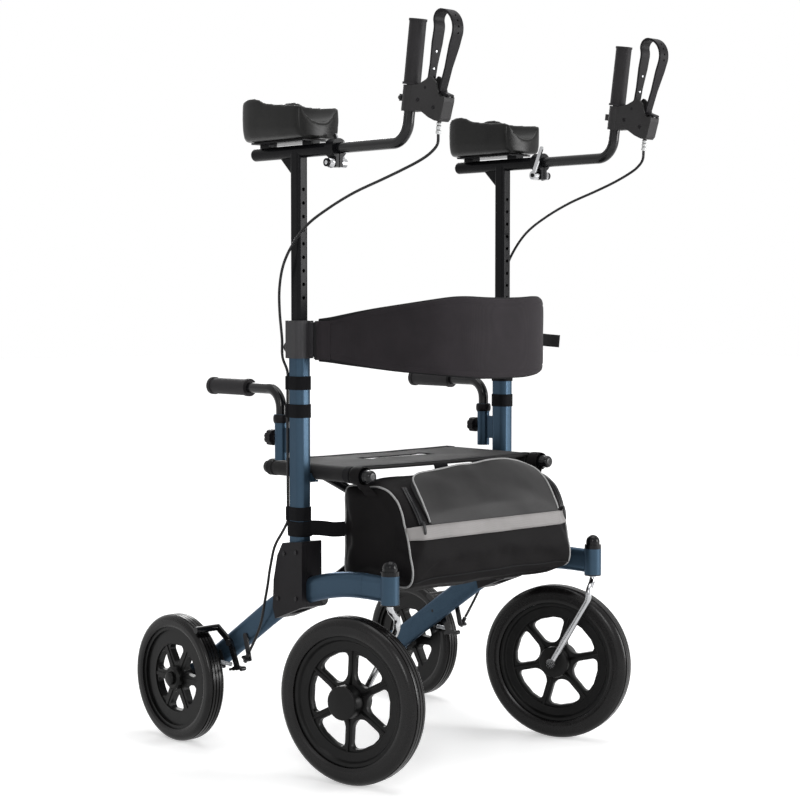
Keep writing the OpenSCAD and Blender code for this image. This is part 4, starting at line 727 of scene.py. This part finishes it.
# backrest: a padded band that bows forwards between the collars, with bound edges, folded ends, tongues and a tab
backForm = {
    "endX": 0.245, "startY": -0.0345, "bow": 0.237, "curve": 3.2, "z": 0.799,
    "upper": [(0, 0.0755), (0.2, 0.0765), (0.35, 0.0785), (0.45, 0.078), (0.55, 0.0742), (0.65, 0.0688),
              (0.75, 0.0624), (0.85, 0.0546), (0.95, 0.0425), (1, 0.0345)],
    "lower": [(0, 0.0705), (0.25, 0.0695), (0.4, 0.0662), (0.6, 0.0608), (0.75, 0.0557), (0.85, 0.0498),
              (0.95, 0.043), (1, 0.038)],
    "thick": 0.016, "endThick": 0.007, "least": 0.0005, "square": (0.45, 0.4), "seam": 0.011,
    "groove": (0.0012, 0.0016), "wrinkle": (0.0007, 37, 2.1), "grid": (140, 88), "binding": (0.0075, 0.01),
    "bindIn": 0.003, "bindSpan": 0.998,
    "tongue": {"reach": (0.24, 0.264), "tall": 0.058, "thick": 0.0044},
    "fold": {"run": [(0.2405, -0.06), (0.2445, -0.05), (0.25, -0.0446), (0.2565, -0.0432), (0.263, -0.043)],
             "low": 0.0018, "thick": 0.0034, "tall": 0.0725, "hem": (0.0046, 0.0045), "hemIn": 0.002},
    "tab": {"share": 0.7, "z": 0.7955, "reach": (0.004, 0.045), "tall": 0.024, "thick": 0.004, "droop": 0.004},
    "anchor": (-0.275, 0, 0.8), "keep": 0.53, "fill": 0.7,
}


# the band's middle, half height, half depth and inward normal at a share from -1 to 1 of its length
def backShape(form, u):
    rise = abs(u) ** form["curve"]
    above, below = (sum(between(form[name], min(abs(u) + k * 0.02, 1.0)) for k in (-2, -1, 0, 1, 2)) / 5
                    for name in ("upper", "lower"))
    deep = (form["endThick"] + (form["thick"] - form["endThick"]) * (1 - u ** 4)) / 2
    slope = form["curve"] * form["bow"] * abs(u) ** (form["curve"] - 1)
    normal = Vector((-math.copysign(slope, u), form["endX"], 0)).normalized()
    centre = Vector((form["endX"] * u, form["startY"] - form["bow"] * (1 - rise), form["z"] + (above - below) / 2))
    return centre, (above + below) / 2, deep, normal


def backPlace(across, along):
    centre, half, deep, normal = backShape(backForm, math.sin((across - 0.5) * math.pi))
    turn = 2 * math.pi * along
    risePower, crownPower = backForm["square"]
    rise, crown = squarish(math.sin(turn), risePower), squarish(math.cos(turn), crownPower)
    grooveDeep, grooveWide = backForm["groove"]
    groove = grooveDeep * math.exp(-(abs(half - abs(rise) * half - backForm["seam"]) / grooveWide) ** 2)
    height, alongX, alongZ = backForm["wrinkle"]
    wrinkle = height * math.sin(centre.x * alongX + rise * alongZ) * (1 - rise * rise)
    return centre + Vector((0, 0, rise * half)) + normal * crown * max(deep - groove + wrinkle, backForm["least"])


def squashBack(piece):
    squashWith(piece, "right_frame", backForm, "seat_fabric")


# the right end stays with its frame, and the left end moves with the squash
def fastenBackEnd(piece, side):
    if side == "right":
        fasten(piece, "right_frame", "seat_fabric")
    else:
        squashBack(piece)


backBm = layGrid(*backForm["grid"], backPlace)
settle(backBm)
for rim in (True, False):
    fillRings(backBm, [edge for edge in backBm.edges if edge.is_boundary and (edge.verts[0].co.x > 0) == rim])
bmesh.ops.recalc_face_normals(backBm, faces=backBm.faces)
backrest = asObject("backrestBand", backBm, "backCloth")
squashBack(backrest)
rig.replaces(backrest, "backrest")
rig.padded(backrest, fill=backForm["fill"])
for name, way in (("backTopBinding", 1), ("backLowBinding", -1)):
    edge = []
    for i in range(121):
        centre, half, deep, normal = backShape(backForm, math.sin((i / 120 - 0.5) * math.pi * backForm["bindSpan"]))
        edge.append(centre + Vector((0, 0, way * (half - backForm["bindIn"]))))
    squashBack(asObject(name, upright(edge, *backForm["binding"]), "bindingCloth"))
foldForm, tongueForm, tabForm = backForm["fold"], backForm["tongue"], backForm["tab"]
for side, sign in sides.items():
    run = curveThrough([(sign * x, y, backForm["z"] - foldForm["low"]) for x, y in foldForm["run"]], 24)
    fold = asObject(side + "BackFold", upright(run, foldForm["thick"], foldForm["tall"], 20), "backCloth")
    reach = foldForm["tall"] / 2 - foldForm["hemIn"]
    hemRun = [run[-1] + Vector((0, 0, -reach + 2 * reach * i / 8)) for i in range(9)]
    hem = asObject(side + "BackHem", sweep(hemRun, *foldForm["hem"], 10, (0, 1, 0)), "bindingCloth")
    for piece in (fold, hem):
        fastenBackEnd(piece, side)
for side, sign in sides.items():
    run = [(sign * within(tongueForm["reach"], i / 6), backForm["startY"], backForm["z"]) for i in range(7)]
    tongue = asObject(side + "BackTongue", upright(run, tongueForm["thick"], tongueForm["tall"], 16), "bindingCloth")
    fastenBackEnd(tongue, side)
tabRoot, _, _, tabWay = backShape(backForm, tabForm["share"])
tabRoot.z = tabForm["z"]
tabRun = []
for i in range(13):
    share, droop = i / 12, tabForm["droop"]
    sway = Vector((0, droop * math.sin(share * 3.1), -droop * share))
    tabRun.append(tabRoot - tabWay * within(tabForm["reach"], share) + sway)
squashBack(asObject("backStrapTab", upright(tabRun, tabForm["thick"], tabForm["tall"]), "bindingCloth"))
print("backrest made")


# bag: a sewn shell, puffed a little, with a front pocket, piping, strip, zips and straps
bagForm = {
    "half": 0.211, "farGain": 1.045, "voxel": 0.005, "pressure": 4.0, "frames": 20, "cap": 0.006, "smooth": 4,
    "axis": (-0.15, 0.44), "start": 0.975, "ringSteps": 5, "folds": (0.0013, 47, 31, 58, 13),
    "outline": [(-0.06, 0.349), (-0.054, 0.372), (-0.054, 0.431), (-0.054, 0.5), (-0.058, 0.524), (-0.068, 0.533),
                (-0.11, 0.537), (-0.15, 0.536), (-0.176, 0.531), (-0.197, 0.52), (-0.214, 0.503), (-0.228, 0.479),
                (-0.238, 0.451), (-0.246, 0.421), (-0.251, 0.391), (-0.252, 0.368), (-0.246, 0.352), (-0.229, 0.345),
                (-0.14, 0.343), (-0.08, 0.344)],
    "ends": [(-1.0, 0.965), (-0.985, 0.988), (-0.95, 1.0), (-0.6, 1.012), (0.0, 1.02), (0.6, 1.012), (0.95, 1.0),
             (0.985, 0.988), (1.0, 0.965)],
    "anchor": (-0.235, 0, 0.5), "keep": 0.42,
}
bagMiddle = Vector((0, *bagForm["axis"]))


# the bag's section at one of its ends, by (share of its half length, scale)
def bagRing(form, share, scale):
    outline = [Vector((0, y, z)) for y, z in form["outline"]]
    count, steps = len(outline), form["ringSteps"]
    ring = curveThrough(outline + outline[:3], (count + 2) * steps)[steps:steps + count * steps]
    return [bagMiddle + (point - bagMiddle) * scale * form["start"] + Vector((share * form["half"], 0, 0))
            for point in ring]


bagBm = bmesh.new()
ring = bagRing(bagForm, *bagForm["ends"][0])
bmesh.ops.create_circle(bagBm, segments=len(ring), radius=0.1)
ringVerts = list(bagBm.verts)
ringEdges = firstRing = list(bagBm.edges)
for vert, point in zip(ringVerts, ring):
    vert.co = point
for share, scale in bagForm["ends"][1:]:
    order = {tuple(vert.co): i for i, vert in enumerate(ringVerts)}
    ringEdges, ringVerts = grow(bagBm, ringEdges)
    ringVerts.sort(key=lambda vert: order[tuple(vert.co)])
    for vert, point in zip(ringVerts, bagRing(bagForm, share, scale)):
        vert.co = point
fillRings(bagBm, firstRing, ringEdges)
settle(bagBm)
bag = asObject("bagBody", bagBm, "bagCloth")
addVoxels(bag, bagForm["voxel"])
bakeModifiers(bag)


# puffs a shell with Cloth, holding each point within a cap of where it began
def puff(obj, pressure, cap, frames):
    start = [vert.co.copy() for vert in obj.data.vertices]
    cloth = obj.modifiers.new("puff", "CLOTH")
    cloth.settings.use_pressure = True
    cloth.settings.uniform_pressure_force = pressure
    cloth.settings.effector_weights.gravity = 0
    cloth.point_cache.frame_start = 1
    cloth.point_cache.frame_end = frames
    for step in range(1, frames + 1):
        scene.frame_set(step)
    bakeModifiers(obj)
    scene.frame_set(1)
    for vert, before in zip(obj.data.vertices, start):
        move = vert.co - before
        if move.length > cap:
            vert.co = before + move * (cap / move.length)


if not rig.quick():
    puff(bag, bagForm["pressure"], bagForm["cap"], bagForm["frames"])
addSoftening(bag, bagForm["smooth"])
bakeModifiers(bag)
height, foldX, foldZ, crossZ, crossX = bagForm["folds"]
for vert in bag.data.vertices:                            # a fuller far end, and soft folds where the cloth hangs
    vert.co.x *= bagForm["farGain"] if vert.co.x > 0 else 1
    out = vert.co - Vector((vert.co.x, bagMiddle.y, bagMiddle.z))
    fold = math.sin(vert.co.x * foldX + vert.co.z * foldZ) * math.sin(vert.co.z * crossZ + vert.co.x * crossX + 1.0)
    vert.co += out.normalized() * height * fold
bagSkin = BVHTree.FromPolygons([vert.co.copy() for vert in bag.data.vertices],
                               [list(face.vertices) for face in bag.data.polygons])


def squashBag(piece):
    squashWith(piece, "bag", bagForm, "bag_fabric")


squashBag(bag)
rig.replaces(bag, "bag")


# a place on the bag at x, at an angle round its length from straight ahead, lifted off the cloth
def onBag(x, angle, lift):
    turn = math.radians(angle)
    way = Vector((0, -math.cos(turn), math.sin(turn)))
    start = Vector((x, bagMiddle.y, bagMiddle.z)) + way * 0.3
    place = bagSkin.ray_cast(start, -way)[0]
    return (place or start - way * 0.2) + way * lift


# front pocket: its front swells up from the strip to a crown above the bag
pocketForm = {
    "angles": (14.0, 80.0), "grid": (72, 40), "wall": 0.03, "piping": 0.0034, "lift": 0.0022, "pipeLift": 0.0004,
    "crown": [(-0.135, 0.016), (-0.06, 0.017), (0.0, 0.021), (0.06, 0.025), (0.14, 0.026), (0.19, 0.02)],
    "left": [(0.0, -0.157), (0.3, -0.161), (0.6, -0.158), (0.85, -0.15), (0.95, -0.14), (1.0, -0.126)],
    "right": [(0.0, 0.187), (0.3, 0.184), (0.6, 0.183), (0.85, 0.179), (0.95, 0.172), (1.0, 0.16)],
    "swell": 1.6, "edgeShare": 0.72, "crease": (0.0016, 33, 5.0, 6.0, 11),
}


def pocketPoint(across, along, extra=0.0):
    x = within((between(pocketForm["left"], along), between(pocketForm["right"], along)), across)
    swell = math.sin(min(1.0, along) * math.pi / 2) ** pocketForm["swell"]
    edge = min(1.0, 6 * min(across, 1 - across)) ** 0.5
    height, foldX, foldUp, crossUp, crossX = pocketForm["crease"]
    crease = height * math.sin(x * foldX + along * foldUp) * math.sin(along * crossUp + x * crossX) * edge
    least = pocketForm["edgeShare"]
    crown = between(pocketForm["crown"], x, True) * swell * (least + (1 - least) * edge)
    return onBag(x, within(pocketForm["angles"], along), pocketForm["lift"] + crown + crease + extra)


pocketBm = layGrid(*pocketForm["grid"], pocketPoint)
pocketBm.normal_update()
for vert in grow(pocketBm, [edge for edge in pocketBm.edges if edge.is_boundary])[1]:
    inwards = Vector((0, bagMiddle.y - vert.co.y, bagMiddle.z - vert.co.z)).normalized()
    vert.co += inwards * pocketForm["wall"]
settle(pocketBm)
squashBag(asObject("bagPocket", pocketBm, "flapCloth"))
pocketEdge = [(0.0, i / 30) for i in range(1, 30)] + [(i / 60, 1.0) for i in range(61)]
pocketEdge += [(1.0, 1 - i / 30) for i in range(1, 30)]
pocketLine = evened([pocketPoint(*shares, pocketForm["pipeLift"]) for shares in pocketEdge], 2, False)
pocketPipe = sweep(pocketLine, pocketForm["piping"], pocketForm["piping"], 8, (0.31, 0.27, 0.91))
squashBag(asObject("bagPocketPiping", pocketPipe, "pipingGrey"))

# piping round both side panels
pipeForm = {"inset": 0.0075, "proud": 0.002, "wide": 0.0036, "steps": 120}
for name, sign in (("bagLeftPiping", 1), ("bagRightPiping", -1)):
    x = sign * (bagForm["half"] - pipeForm["inset"]) * (bagForm["farGain"] if sign > 0 else 1)
    line = [onBag(x, 360 * i / pipeForm["steps"], 0) + Vector((sign * pipeForm["proud"], 0, 0))
            for i in range(pipeForm["steps"])]
    pipe = sweep(evened(line, 1, True), pipeForm["wide"], pipeForm["wide"], 8, (1, 0, 0), True)
    squashBag(asObject(name, pipe, "pipingGrey"))

# reflecting strip, zips with their pulls and the crease seam under the front
stripForm = {"reach": (-0.207, 0.216), "angles": (-1.0, 14.5), "lift": 0.003, "thick": 0.0012, "grid": (96, 5)}
zipForm = {
    "tape": (0.013, 0.0014), "tooth": (0.0042, 0.0016, 0.0016), "toothEdge": 0.0003, "lift": 0.0016, "steps": 40,
    "out": Vector((0, -0.6, 0.8)), "proud": 0.0012,
    "left": [(-0.166, 70), (-0.175, 53), (-0.178, 39), (-0.177, 26), (-0.176, 16)],
    "right": [(0.201, 70), (0.207, 53), (0.209, 39), (0.21, 26), (0.21, 17)],
    "pull": [(0, -0.004, 0.006), (0.001, -0.006, -0.002), (0.002, -0.007, -0.012), (0.002, -0.007, -0.02)],
    "pullSize": (0.0022, 0.006),
}
seamForm = {"reach": (-0.204, 0.213), "angle": -37, "drop": 3, "lift": 0.0006, "wide": 0.0026}
stripBm = layGrid(*stripForm["grid"], lambda across, along: onBag(
    within(stripForm["reach"], across), within(stripForm["angles"], along), stripForm["lift"]))
bmesh.ops.recalc_face_normals(stripBm, faces=stripBm.faces)
strip = asObject("bagStrip", stripBm, "reflectStrip")
thicken(strip, stripForm["thick"])
squashBag(strip)
for name in sides:
    line = curveThrough([onBag(x, angle, zipForm["lift"]) for x, angle in zipForm[name]], zipForm["steps"])
    tape = asObject(name + "ZipTape", sweep(line, *zipForm["tape"], 8, zipForm["out"]), "zipBlack")
    teeth = bmesh.new()
    for start, end in zip(line, line[1:]):
        turned = (end - start).normalized().to_track_quat("Z", "X").to_matrix().to_4x4()
        for half in (0.25, 0.75):
            tooth = bmesh.ops.create_cube(teeth, size=1.0)["verts"]
            bmesh.ops.scale(teeth, vec=zipForm["tooth"], verts=tooth)
            turned.translation = start.lerp(end, half) + zipForm["out"] * zipForm["proud"]
            bmesh.ops.transform(teeth, matrix=turned @ Matrix.Rotation(math.pi / 2, 4, "Z"), verts=tooth)
    bevel(teeth, teeth.edges[:], zipForm["toothEdge"], 1)
    coil = asObject(name + "ZipTeeth", teeth, "zipBlack", False)
    pullLine = [line[-1] + Vector(step) for step in zipForm["pull"]]
    pull = asObject(name + "ZipPull", sweep(pullLine, *zipForm["pullSize"], 8), "zipBlack")
    for piece in (tape, coil, pull):
        squashBag(piece)
seamLine = [onBag(within(seamForm["reach"], i / 60), seamForm["angle"] - seamForm["drop"] * abs(i / 30 - 1) ** 3,
                  seamForm["lift"]) for i in range(61)]
squashBag(asObject("bagFootSeam", upright(seamLine, seamForm["wide"], seamForm["wide"], 8), "bindingCloth"))

# web straps: from each post round to the bag, a wrap on the post, a loop and hanger at each rail's end, and one
# strap under the seat's front
strapForm = {
    "wide": 0.028, "thick": 0.0024,
    "run": [(0.262, -0.026, 0.448), (0.244, -0.037, 0.447), (0.224, -0.05, 0.444), (0.206, -0.063, 0.445),
            (0.2, -0.078, 0.446)],
    "wrap": {"place": (0.27, -0.006, 0.446), "half": (0.0178, 0.0205), "power": 0.55},
    "loop": {"place": (0.235, -0.137, 0.551), "r": 0.0165, "wide": 0.026},
    "hanger": [(0.231, -0.137, 0.5365), (0.2265, -0.139, 0.528), (0.219, -0.141, 0.521), (0.2148, -0.143, 0.513),
               (0.214, -0.144, 0.502)],
    "hangerWide": 0.034,
    "middle": [(-0.019, -0.112, 0.562), (-0.019, -0.1235, 0.5585), (-0.018, -0.126, 0.548), (-0.018, -0.128, 0.536)],
    "middleSize": (0.0022, 0.036),
}
for side, sign in sides.items():
    line = curveThrough(mirrored(strapForm["run"], sign), 28)
    strap = asObject(side + "BagStrap", upright(line, strapForm["thick"], strapForm["wide"]), "bandCloth")
    squashBag(strap)
    (x, y, z), (halfX, halfY) = strapForm["wrap"]["place"], strapForm["wrap"]["half"]
    power = strapForm["wrap"]["power"]
    ring = ringOf(48, lambda cosine, sine: (
        sign * x + halfX * squarish(cosine, power), y + halfY * squarish(sine, power), z))
    wrap = upright(ring, strapForm["thick"], strapForm["wide"], 12, True)
    fasten(asObject(side + "PostWrap", wrap, "bandCloth"), side + "_frame", "bag_fabric")
    (x, y, z), loopR = strapForm["loop"]["place"], strapForm["loop"]["r"]
    ring = ringOf(28, lambda cosine, sine: (sign * x + loopR * cosine, y, z + loopR * sine))
    loop = sweep(ring, strapForm["thick"], strapForm["loop"]["wide"], 12, (0, 1, 0), True)
    fasten(asObject(side + "RailLoop", loop, "bagCloth"), "brace_a" if side == "left" else "brace_b", "bag_fabric")
    line = curveThrough(mirrored(strapForm["hanger"], sign), 24)
    hanger = sweep(line, strapForm["thick"], strapForm["hangerWide"], 12, (0, 1, 0))
    squashBag(asObject(side + "BagHanger", hanger, "bagCloth"))
line = curveThrough(strapForm["middle"], 20)
squashBag(asObject("bagMiddleStrap", sweep(line, *strapForm["middleSize"], 12), "bandCloth"))
print("bag made")


# brake cables: one run from the lever to the mast, one from the mast to the rear brake
cableForm = {
    "thick": 0.005, "split": 0.4, "steps": 150, "hold": (14, 17, 760),
    "route": [(0, -372.0, 1155.7), (0, -370, 1138), (2, -355, 1124), (4, -330, 1112), (8, -290, 1098), (11, -240, 1083),
              (14, -170, 1063), (17, -105, 1038), (21, -50, 1010), (24, -12, 976), (26, 14, 938), (26, 26, 895),
              (25, 27, 850), (22, 24, 800), (21, 24, 766), *[(14.5, 17.5, z) for z in (738, 700, 640, 560, 490, 462)],
              (18, 28, 440), (25, 44, 410), (28, 54, 370),
              (28, 62, 335), (26, 74, 300), (23, 88, 262), (21.3, 106, 230), (21.3, 127, 199)],
}
for side, sign in sides.items():
    line = curveThrough([sidePoint(sign, *point) for point in cableForm["route"]], cableForm["steps"])
    cut, thick = int(len(line) * cableForm["split"]), cableForm["thick"]
    upper = asObject(side + "UpperCable", sweep(line[:cut + 1], thick, thick), "sheathBlack")
    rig.blend(upper, side + "_mast", side + "_handle", line[cut], line[0])
    lower = asObject(side + "LowerCable", sweep(line[cut:], thick, thick), "sheathBlack")
    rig.blend(lower, side + "_frame", side + "_mast", sidePoint(sign, *cableForm["hold"]), line[cut])
    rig.replaces(lower, side + "_brake_cable")
    for piece in (upper, lower):
        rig.slot(piece, "cable_sheath")
print("brake cables made")


# return springs
springForm = {"place": (22.6, 182.58, 166.06), "coilR": 3.25, "wire": 0.0015, "curls": 13, "pitch": 2.6, "ring": 16}
for side, sign in sides.items():
    (x, y, z), radius, wire = springForm["place"], springForm["coilR"], springForm["wire"]
    count = springForm["curls"] * springForm["ring"]
    coil = []
    for i in range(count + 1):
        turn = 2 * math.pi * i / springForm["ring"]
        along = springForm["curls"] * springForm["pitch"] * i / count
        coil.append(sidePoint(sign, x + radius * math.cos(turn), y + along, z + radius * math.sin(turn)))
    spring = asObject(side + "ReturnSpring", sweep(coil, wire, wire, 8, (0, 1, 0)), "steel")
    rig.blend(spring, side + "_brake_arm", side + "_frame", coil[0], coil[-1])
    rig.replaces(spring, side + "_brake_spring")
    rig.slot(spring, "steel")
print("springs made")


# front rims: a web with six rounded windows, ribs on its spokes, a stepped ring and a hub
rimForm = {
    "web": 0.0935, "thick": 0.0125, "window": (0.0395, 0.0885), "outer": 0.36, "spoke": 0.0072, "corner": 0.0115,
    "rib": (0.028, 0.101, 0.0056), "ribThick": 0.0178, "ribEdge": 0.0009, "edge": 0.0008,
    "turn": {"right": -3.0, "left": 16.5},
    "ring": [(0.0915, -0.0075), (0.093, -0.0095), (0.108, -0.0095), (0.1096, -0.012), (0.1118, -0.0156),
             (0.114, -0.0164), (0.1189, -0.0164)],
    "hub": [(0.0056, -0.0233), (0.027, -0.0233), (0.0298, -0.0218), (0.031, -0.019), (0.031, 0.0299),
            (0.0106, 0.0299), (0.0106, 0.0236), (0.0056, 0.0236)],
}


def spunRing(bm, outline, steps):
    verts = [bm.verts.new((radius, 0, z)) for radius, z in outline]
    edges = [bm.edges.new((verts[i - 1], verts[i])) for i in range(len(verts))]
    bmesh.ops.spin(bm, geom=verts + edges, cent=(0, 0, 0), axis=(0, 0, 1), angle=2 * math.pi, steps=steps,
                   use_merge=True)


def turnAbout(bm, verts, degrees):
    bmesh.ops.rotate(bm, verts=verts, cent=(0, 0, 0), matrix=Matrix.Rotation(math.radians(degrees), 3, "Z"))


def frontRim(form, turn):
    bm = bmesh.new()
    bmesh.ops.create_circle(bm, segments=96, radius=form["web"])
    (low, high), outer = form["window"], form["outer"]
    for k in range(6):
        corners = []
        for radius, share in ((low, -1), (high, -1), (high, -outer), (high, outer), (high, 1), (low, 1)):
            angle = math.radians(60 * k) + share * (math.pi / 6 - math.asin(form["spoke"] / radius))
            corners.append(bm.verts.new((radius * math.cos(angle), radius * math.sin(angle), 0)))
        bm.faces.new(corners)
        bevel(bm, corners[:2] + corners[4:], form["corner"], 7, "VERTICES")
        bmesh.ops.delete(bm, geom=bm.faces[:], context="FACES_ONLY")
    bmesh.ops.triangle_fill(bm, use_beauty=True, edges=bm.edges[:])
    lifted = bmesh.ops.extrude_face_region(bm, geom=bm.faces[:])["geom"]
    lifted = [item for item in lifted if isinstance(item, bmesh.types.BMVert)]
    bmesh.ops.translate(bm, verts=lifted, vec=(0, 0, form["thick"]))
    bmesh.ops.translate(bm, verts=bm.verts, vec=(0, 0, -form["thick"] / 2))
    near, far, wide = form["rib"]
    for k in range(6):
        rib = bmesh.ops.create_cube(bm, size=1.0)["verts"]
        bmesh.ops.scale(bm, verts=rib, vec=(far - near, wide, form["ribThick"]))
        bmesh.ops.translate(bm, verts=rib, vec=((near + far) / 2, 0, 0))
        turnAbout(bm, rib, 30 + 60 * k)
        bevel(bm, edgesAt(rib), form["ribEdge"], 2)
    spunRing(bm, form["ring"] + [(radius, -z) for radius, z in reversed(form["ring"])], 96)
    spunRing(bm, form["hub"], 64)
    turnAbout(bm, bm.verts, turn)
    return bm


spins = {joint["name"]: joint for joint in frame["record"]["behaviour"]["joints"] if "wheel_spin" in joint["name"]}


# a wheel's centre and its axle's outward way
def axleOf(wheel, sign):
    spin = spins[wheel + "_wheel_spin"]
    axis = Vector(spin["axis"])
    return Vector(spin["pos_m"]), axis * math.copysign(1, axis.x * sign)


for side, sign in sides.items():
    centre, axis = axleOf(side + "_front", sign)
    place = axis.to_track_quat("Z", "Y").to_matrix().to_4x4()
    place.translation = centre
    rimBm = frontRim(rimForm, rimForm["turn"][side])
    bmesh.ops.transform(rimBm, matrix=place, verts=rimBm.verts)
    settle(rimBm)
    rim = asObject(side + "FrontRim", rimBm, "rimBlack", False)
    soft = rim.modifiers.new("edges", "BEVEL")
    soft.width, soft.segments, soft.limit_method = rimForm["edge"], 2, "ANGLE"
    bakeModifiers(rim)
    fasten(rim, side + "_front_wheel", "cover_plastic")
    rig.replaces(rim, side + "_front_rim")
print("front rims made")


# small hardware: lever rivets, clamp nuts, barrel sleeves, housing screws, hub caps and guide rings
gripForm = {"y": -297.62, "z": 1179.57, "lean": 8.0}
rivetForm = {"x": 0.2705, "spots": [(-0.3738, 1.295), (-0.3672, 1.2664)], "out": Vector((0, -0.974, -0.225)),
             "r": 0.0026, "reach": (-0.001, 0.0012), "rings": [(0, 1), (0.7, 1), (0.9, 0.85), (1, 0.5)]}
nutForm = {"reach": (8.0, 23.6), "y": -104, "z": 1120, "r": 0.0082,
           "rings": [(0, 1.18), (0.12, 1.18), (0.14, 1), (0.62, 1), (0.66, 0.86), (0.8, 0.82), (0.94, 0.6), (1, 0.25)]}
sleeveForm = {"ahead": -77, "reach": (-14.5, 5.5), "r": 0.0046,
              "rings": [(0, 0.7), (0.06, 1), (0.3, 1), (0.34, 0.8), (0.4, 0.8), (0.44, 1), (0.66, 1), (0.7, 0.8),
                        (0.76, 0.8), (0.8, 1), (1, 1)]}
screwForm = {"spots": [(-30, 40), (-70, 30)], "reach": (11.0, 13.2), "r": 0.0034,
             "rings": [(0, 1), (0.75, 1), (1, 0.78), (1, 0.42), (0.6, 0.36)]}
capForm = {
    "front": {"body": "_front_wheel", "reach": (0.0299, 0.0338), "r": 0.031,
              "rings": [(0, 0.985), (0.25, 1), (0.55, 0.988), (0.85, 0.955), (1, 0.9)]},
    "rear": {"body": "_frame", "reach": (0.0214, 0.029), "r": 0.013,
             "rings": [(0, 1), (0.5, 1), (0.78, 0.93), (0.93, 0.76), (1, 0.5)]},
}
ringForm = {"place": (0.27, 0.048, 0.6488), "r": 0.0132, "wide": 0.0044, "tall": 0.0155}


# a place in the handle's own millimetres, which lean with it
def gripPoint(sign, x, y, z):
    lean = math.radians(gripForm["lean"])
    return sidePoint(sign, x, gripForm["y"] + y * math.cos(lean) - z * math.sin(lean),
                     gripForm["z"] + y * math.sin(lean) + z * math.cos(lean))


def addTurned(name, form, ends, segments, finish, body, slotName):
    start, end = ends
    made = turnedPiece(start, end, [(share, form["r"] * size) for share, size in form["rings"]], segments)
    fasten(asObject(name, made, finish), body, slotName)


for side, sign in sides.items():
    for number, (y, z) in enumerate(rivetForm["spots"]):
        place = Vector((sign * rivetForm["x"], y, z))
        ends = [place + rivetForm["out"] * reach for reach in rivetForm["reach"]]
        addTurned(side + "LeverRivet" + str(number), rivetForm, ends, 16, "steel", side + "_brake_lever", "steel")
    ends = [sidePoint(sign, reach, nutForm["y"], nutForm["z"]) for reach in nutForm["reach"]]
    addTurned(side + "ClampNut", nutForm, ends, 24, "chrome", side + "_mast", "chrome")
    ends = [gripPoint(sign, 0, sleeveForm["ahead"], reach) for reach in sleeveForm["reach"]]
    addTurned(side + "BarrelSleeve", sleeveForm, ends, 20, "clearNylon", side + "_handle", "cable_sheath")
    for number, (y, z) in enumerate(screwForm["spots"]):
        for name, way in (("Outer", 1), ("Inner", -1)):
            ends = [gripPoint(sign, way * reach, y, z) for reach in screwForm["reach"]]
            addTurned(side + "Housing" + name + "Screw" + str(number), screwForm, ends, 18, "coverBlack",
                      side + "_handle", "cover_plastic")
for side, sign in sides.items():
    for end, form in capForm.items():
        centre, axis = axleOf(side + "_" + end, sign)
        addTurned(side + end.capitalize() + "HubCap", form, [centre + axis * reach for reach in form["reach"]], 40,
                  "rimBlack", side + form["body"], "cover_plastic")
    (x, y, z), radius = ringForm["place"], ringForm["r"]
    ring = ringOf(48, lambda cosine, sine: (sign * x + radius * cosine, y + radius * sine, z))
    ring = upright(ring, ringForm["wide"], ringForm["tall"], 16, True)
    fasten(asObject(side + "GuideRing", ring, "coverBlack"), side + "_frame", "cover_plastic")
print("small hardware made")


# one for rays that see the white backdrop: from the camera, from gloss and through clear pieces
def seenDirectly(tree):
    ray = put(tree, "LightPath").outputs
    seen = combine(tree, "MAXIMUM", ray["Is Camera Ray"], ray["Is Glossy Ray"])
    return combine(tree, "MAXIMUM", seen, ray["Is Transmission Ray"])


# floor: it keeps the shadow near the walker and fades to the backdrop's white away from it
floorMaterial, floorTree, floorSurface = startMaterial("paleFloor", {"Roughness": 0.9})
floorPlace = put(floorTree, "TexCoord").outputs["Object"]
floorSpot = put(floorTree, "TexNoise", {"Vector": floorPlace, "Scale": 2.0})
floorTone = mixColour(floorTree, floorSpot.outputs["Fac"], *studio["floorTones"])
floorTree.links.new(floorTone, floorSurface.inputs["Base Color"])
away = put(floorTree, "VectorMath", {0: floorPlace}, operation="LENGTH")
spread = put(floorTree, "MapRange", {
    "Value": away.outputs["Value"], "From Min": studio["glowReach"][0], "From Max": studio["glowReach"][1],
    "To Min": studio["glow"][0], "To Max": studio["glow"][1]}, interpolation_type="SMOOTHSTEP")
glow = put(floorTree, "Emission", {"Color": (1, 1, 1, 1), "Strength": spread.outputs["Result"]})
both = put(floorTree, "AddShader", {0: floorSurface.outputs["BSDF"], 1: glow.outputs["Emission"]})
pick = put(floorTree, "MixShader", {0: seenDirectly(floorTree), 1: floorSurface.outputs["BSDF"],
                                    2: both.outputs["Shader"]})
floorTree.links.new(pick.outputs["Shader"], floorTree.nodes["Material Output"].inputs["Surface"])
floorBm = bmesh.new()
bmesh.ops.create_grid(floorBm, x_segments=4, y_segments=4, size=studio["floorSize"] / 2)
finishes["paleFloor"] = floorMaterial
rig.stage(asObject("floor", floorBm, "paleFloor"))

# backdrop
world = bpy.data.worlds.new("studioWorld")
scene.world = world
world.use_nodes = True
worldTree = world.node_tree
worldTree.nodes.clear()
level = put(worldTree, "MapRange", {"Value": seenDirectly(worldTree), "To Min": studio["ambient"], "To Max": 1.0})
sky = put(worldTree, "Background", {"Color": (1, 1, 1, 1), "Strength": level.outputs["Result"]})
put(worldTree, "OutputWorld", {"Surface": sky.outputs["Background"]})
scene.view_settings.view_transform = "Standard"
print("floor and backdrop set")

with open("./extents.json", "w") as sizeFile:
    json.dump({"cad": cadBox, "visual": [list(corner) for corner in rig.bounds()]}, sizeFile)
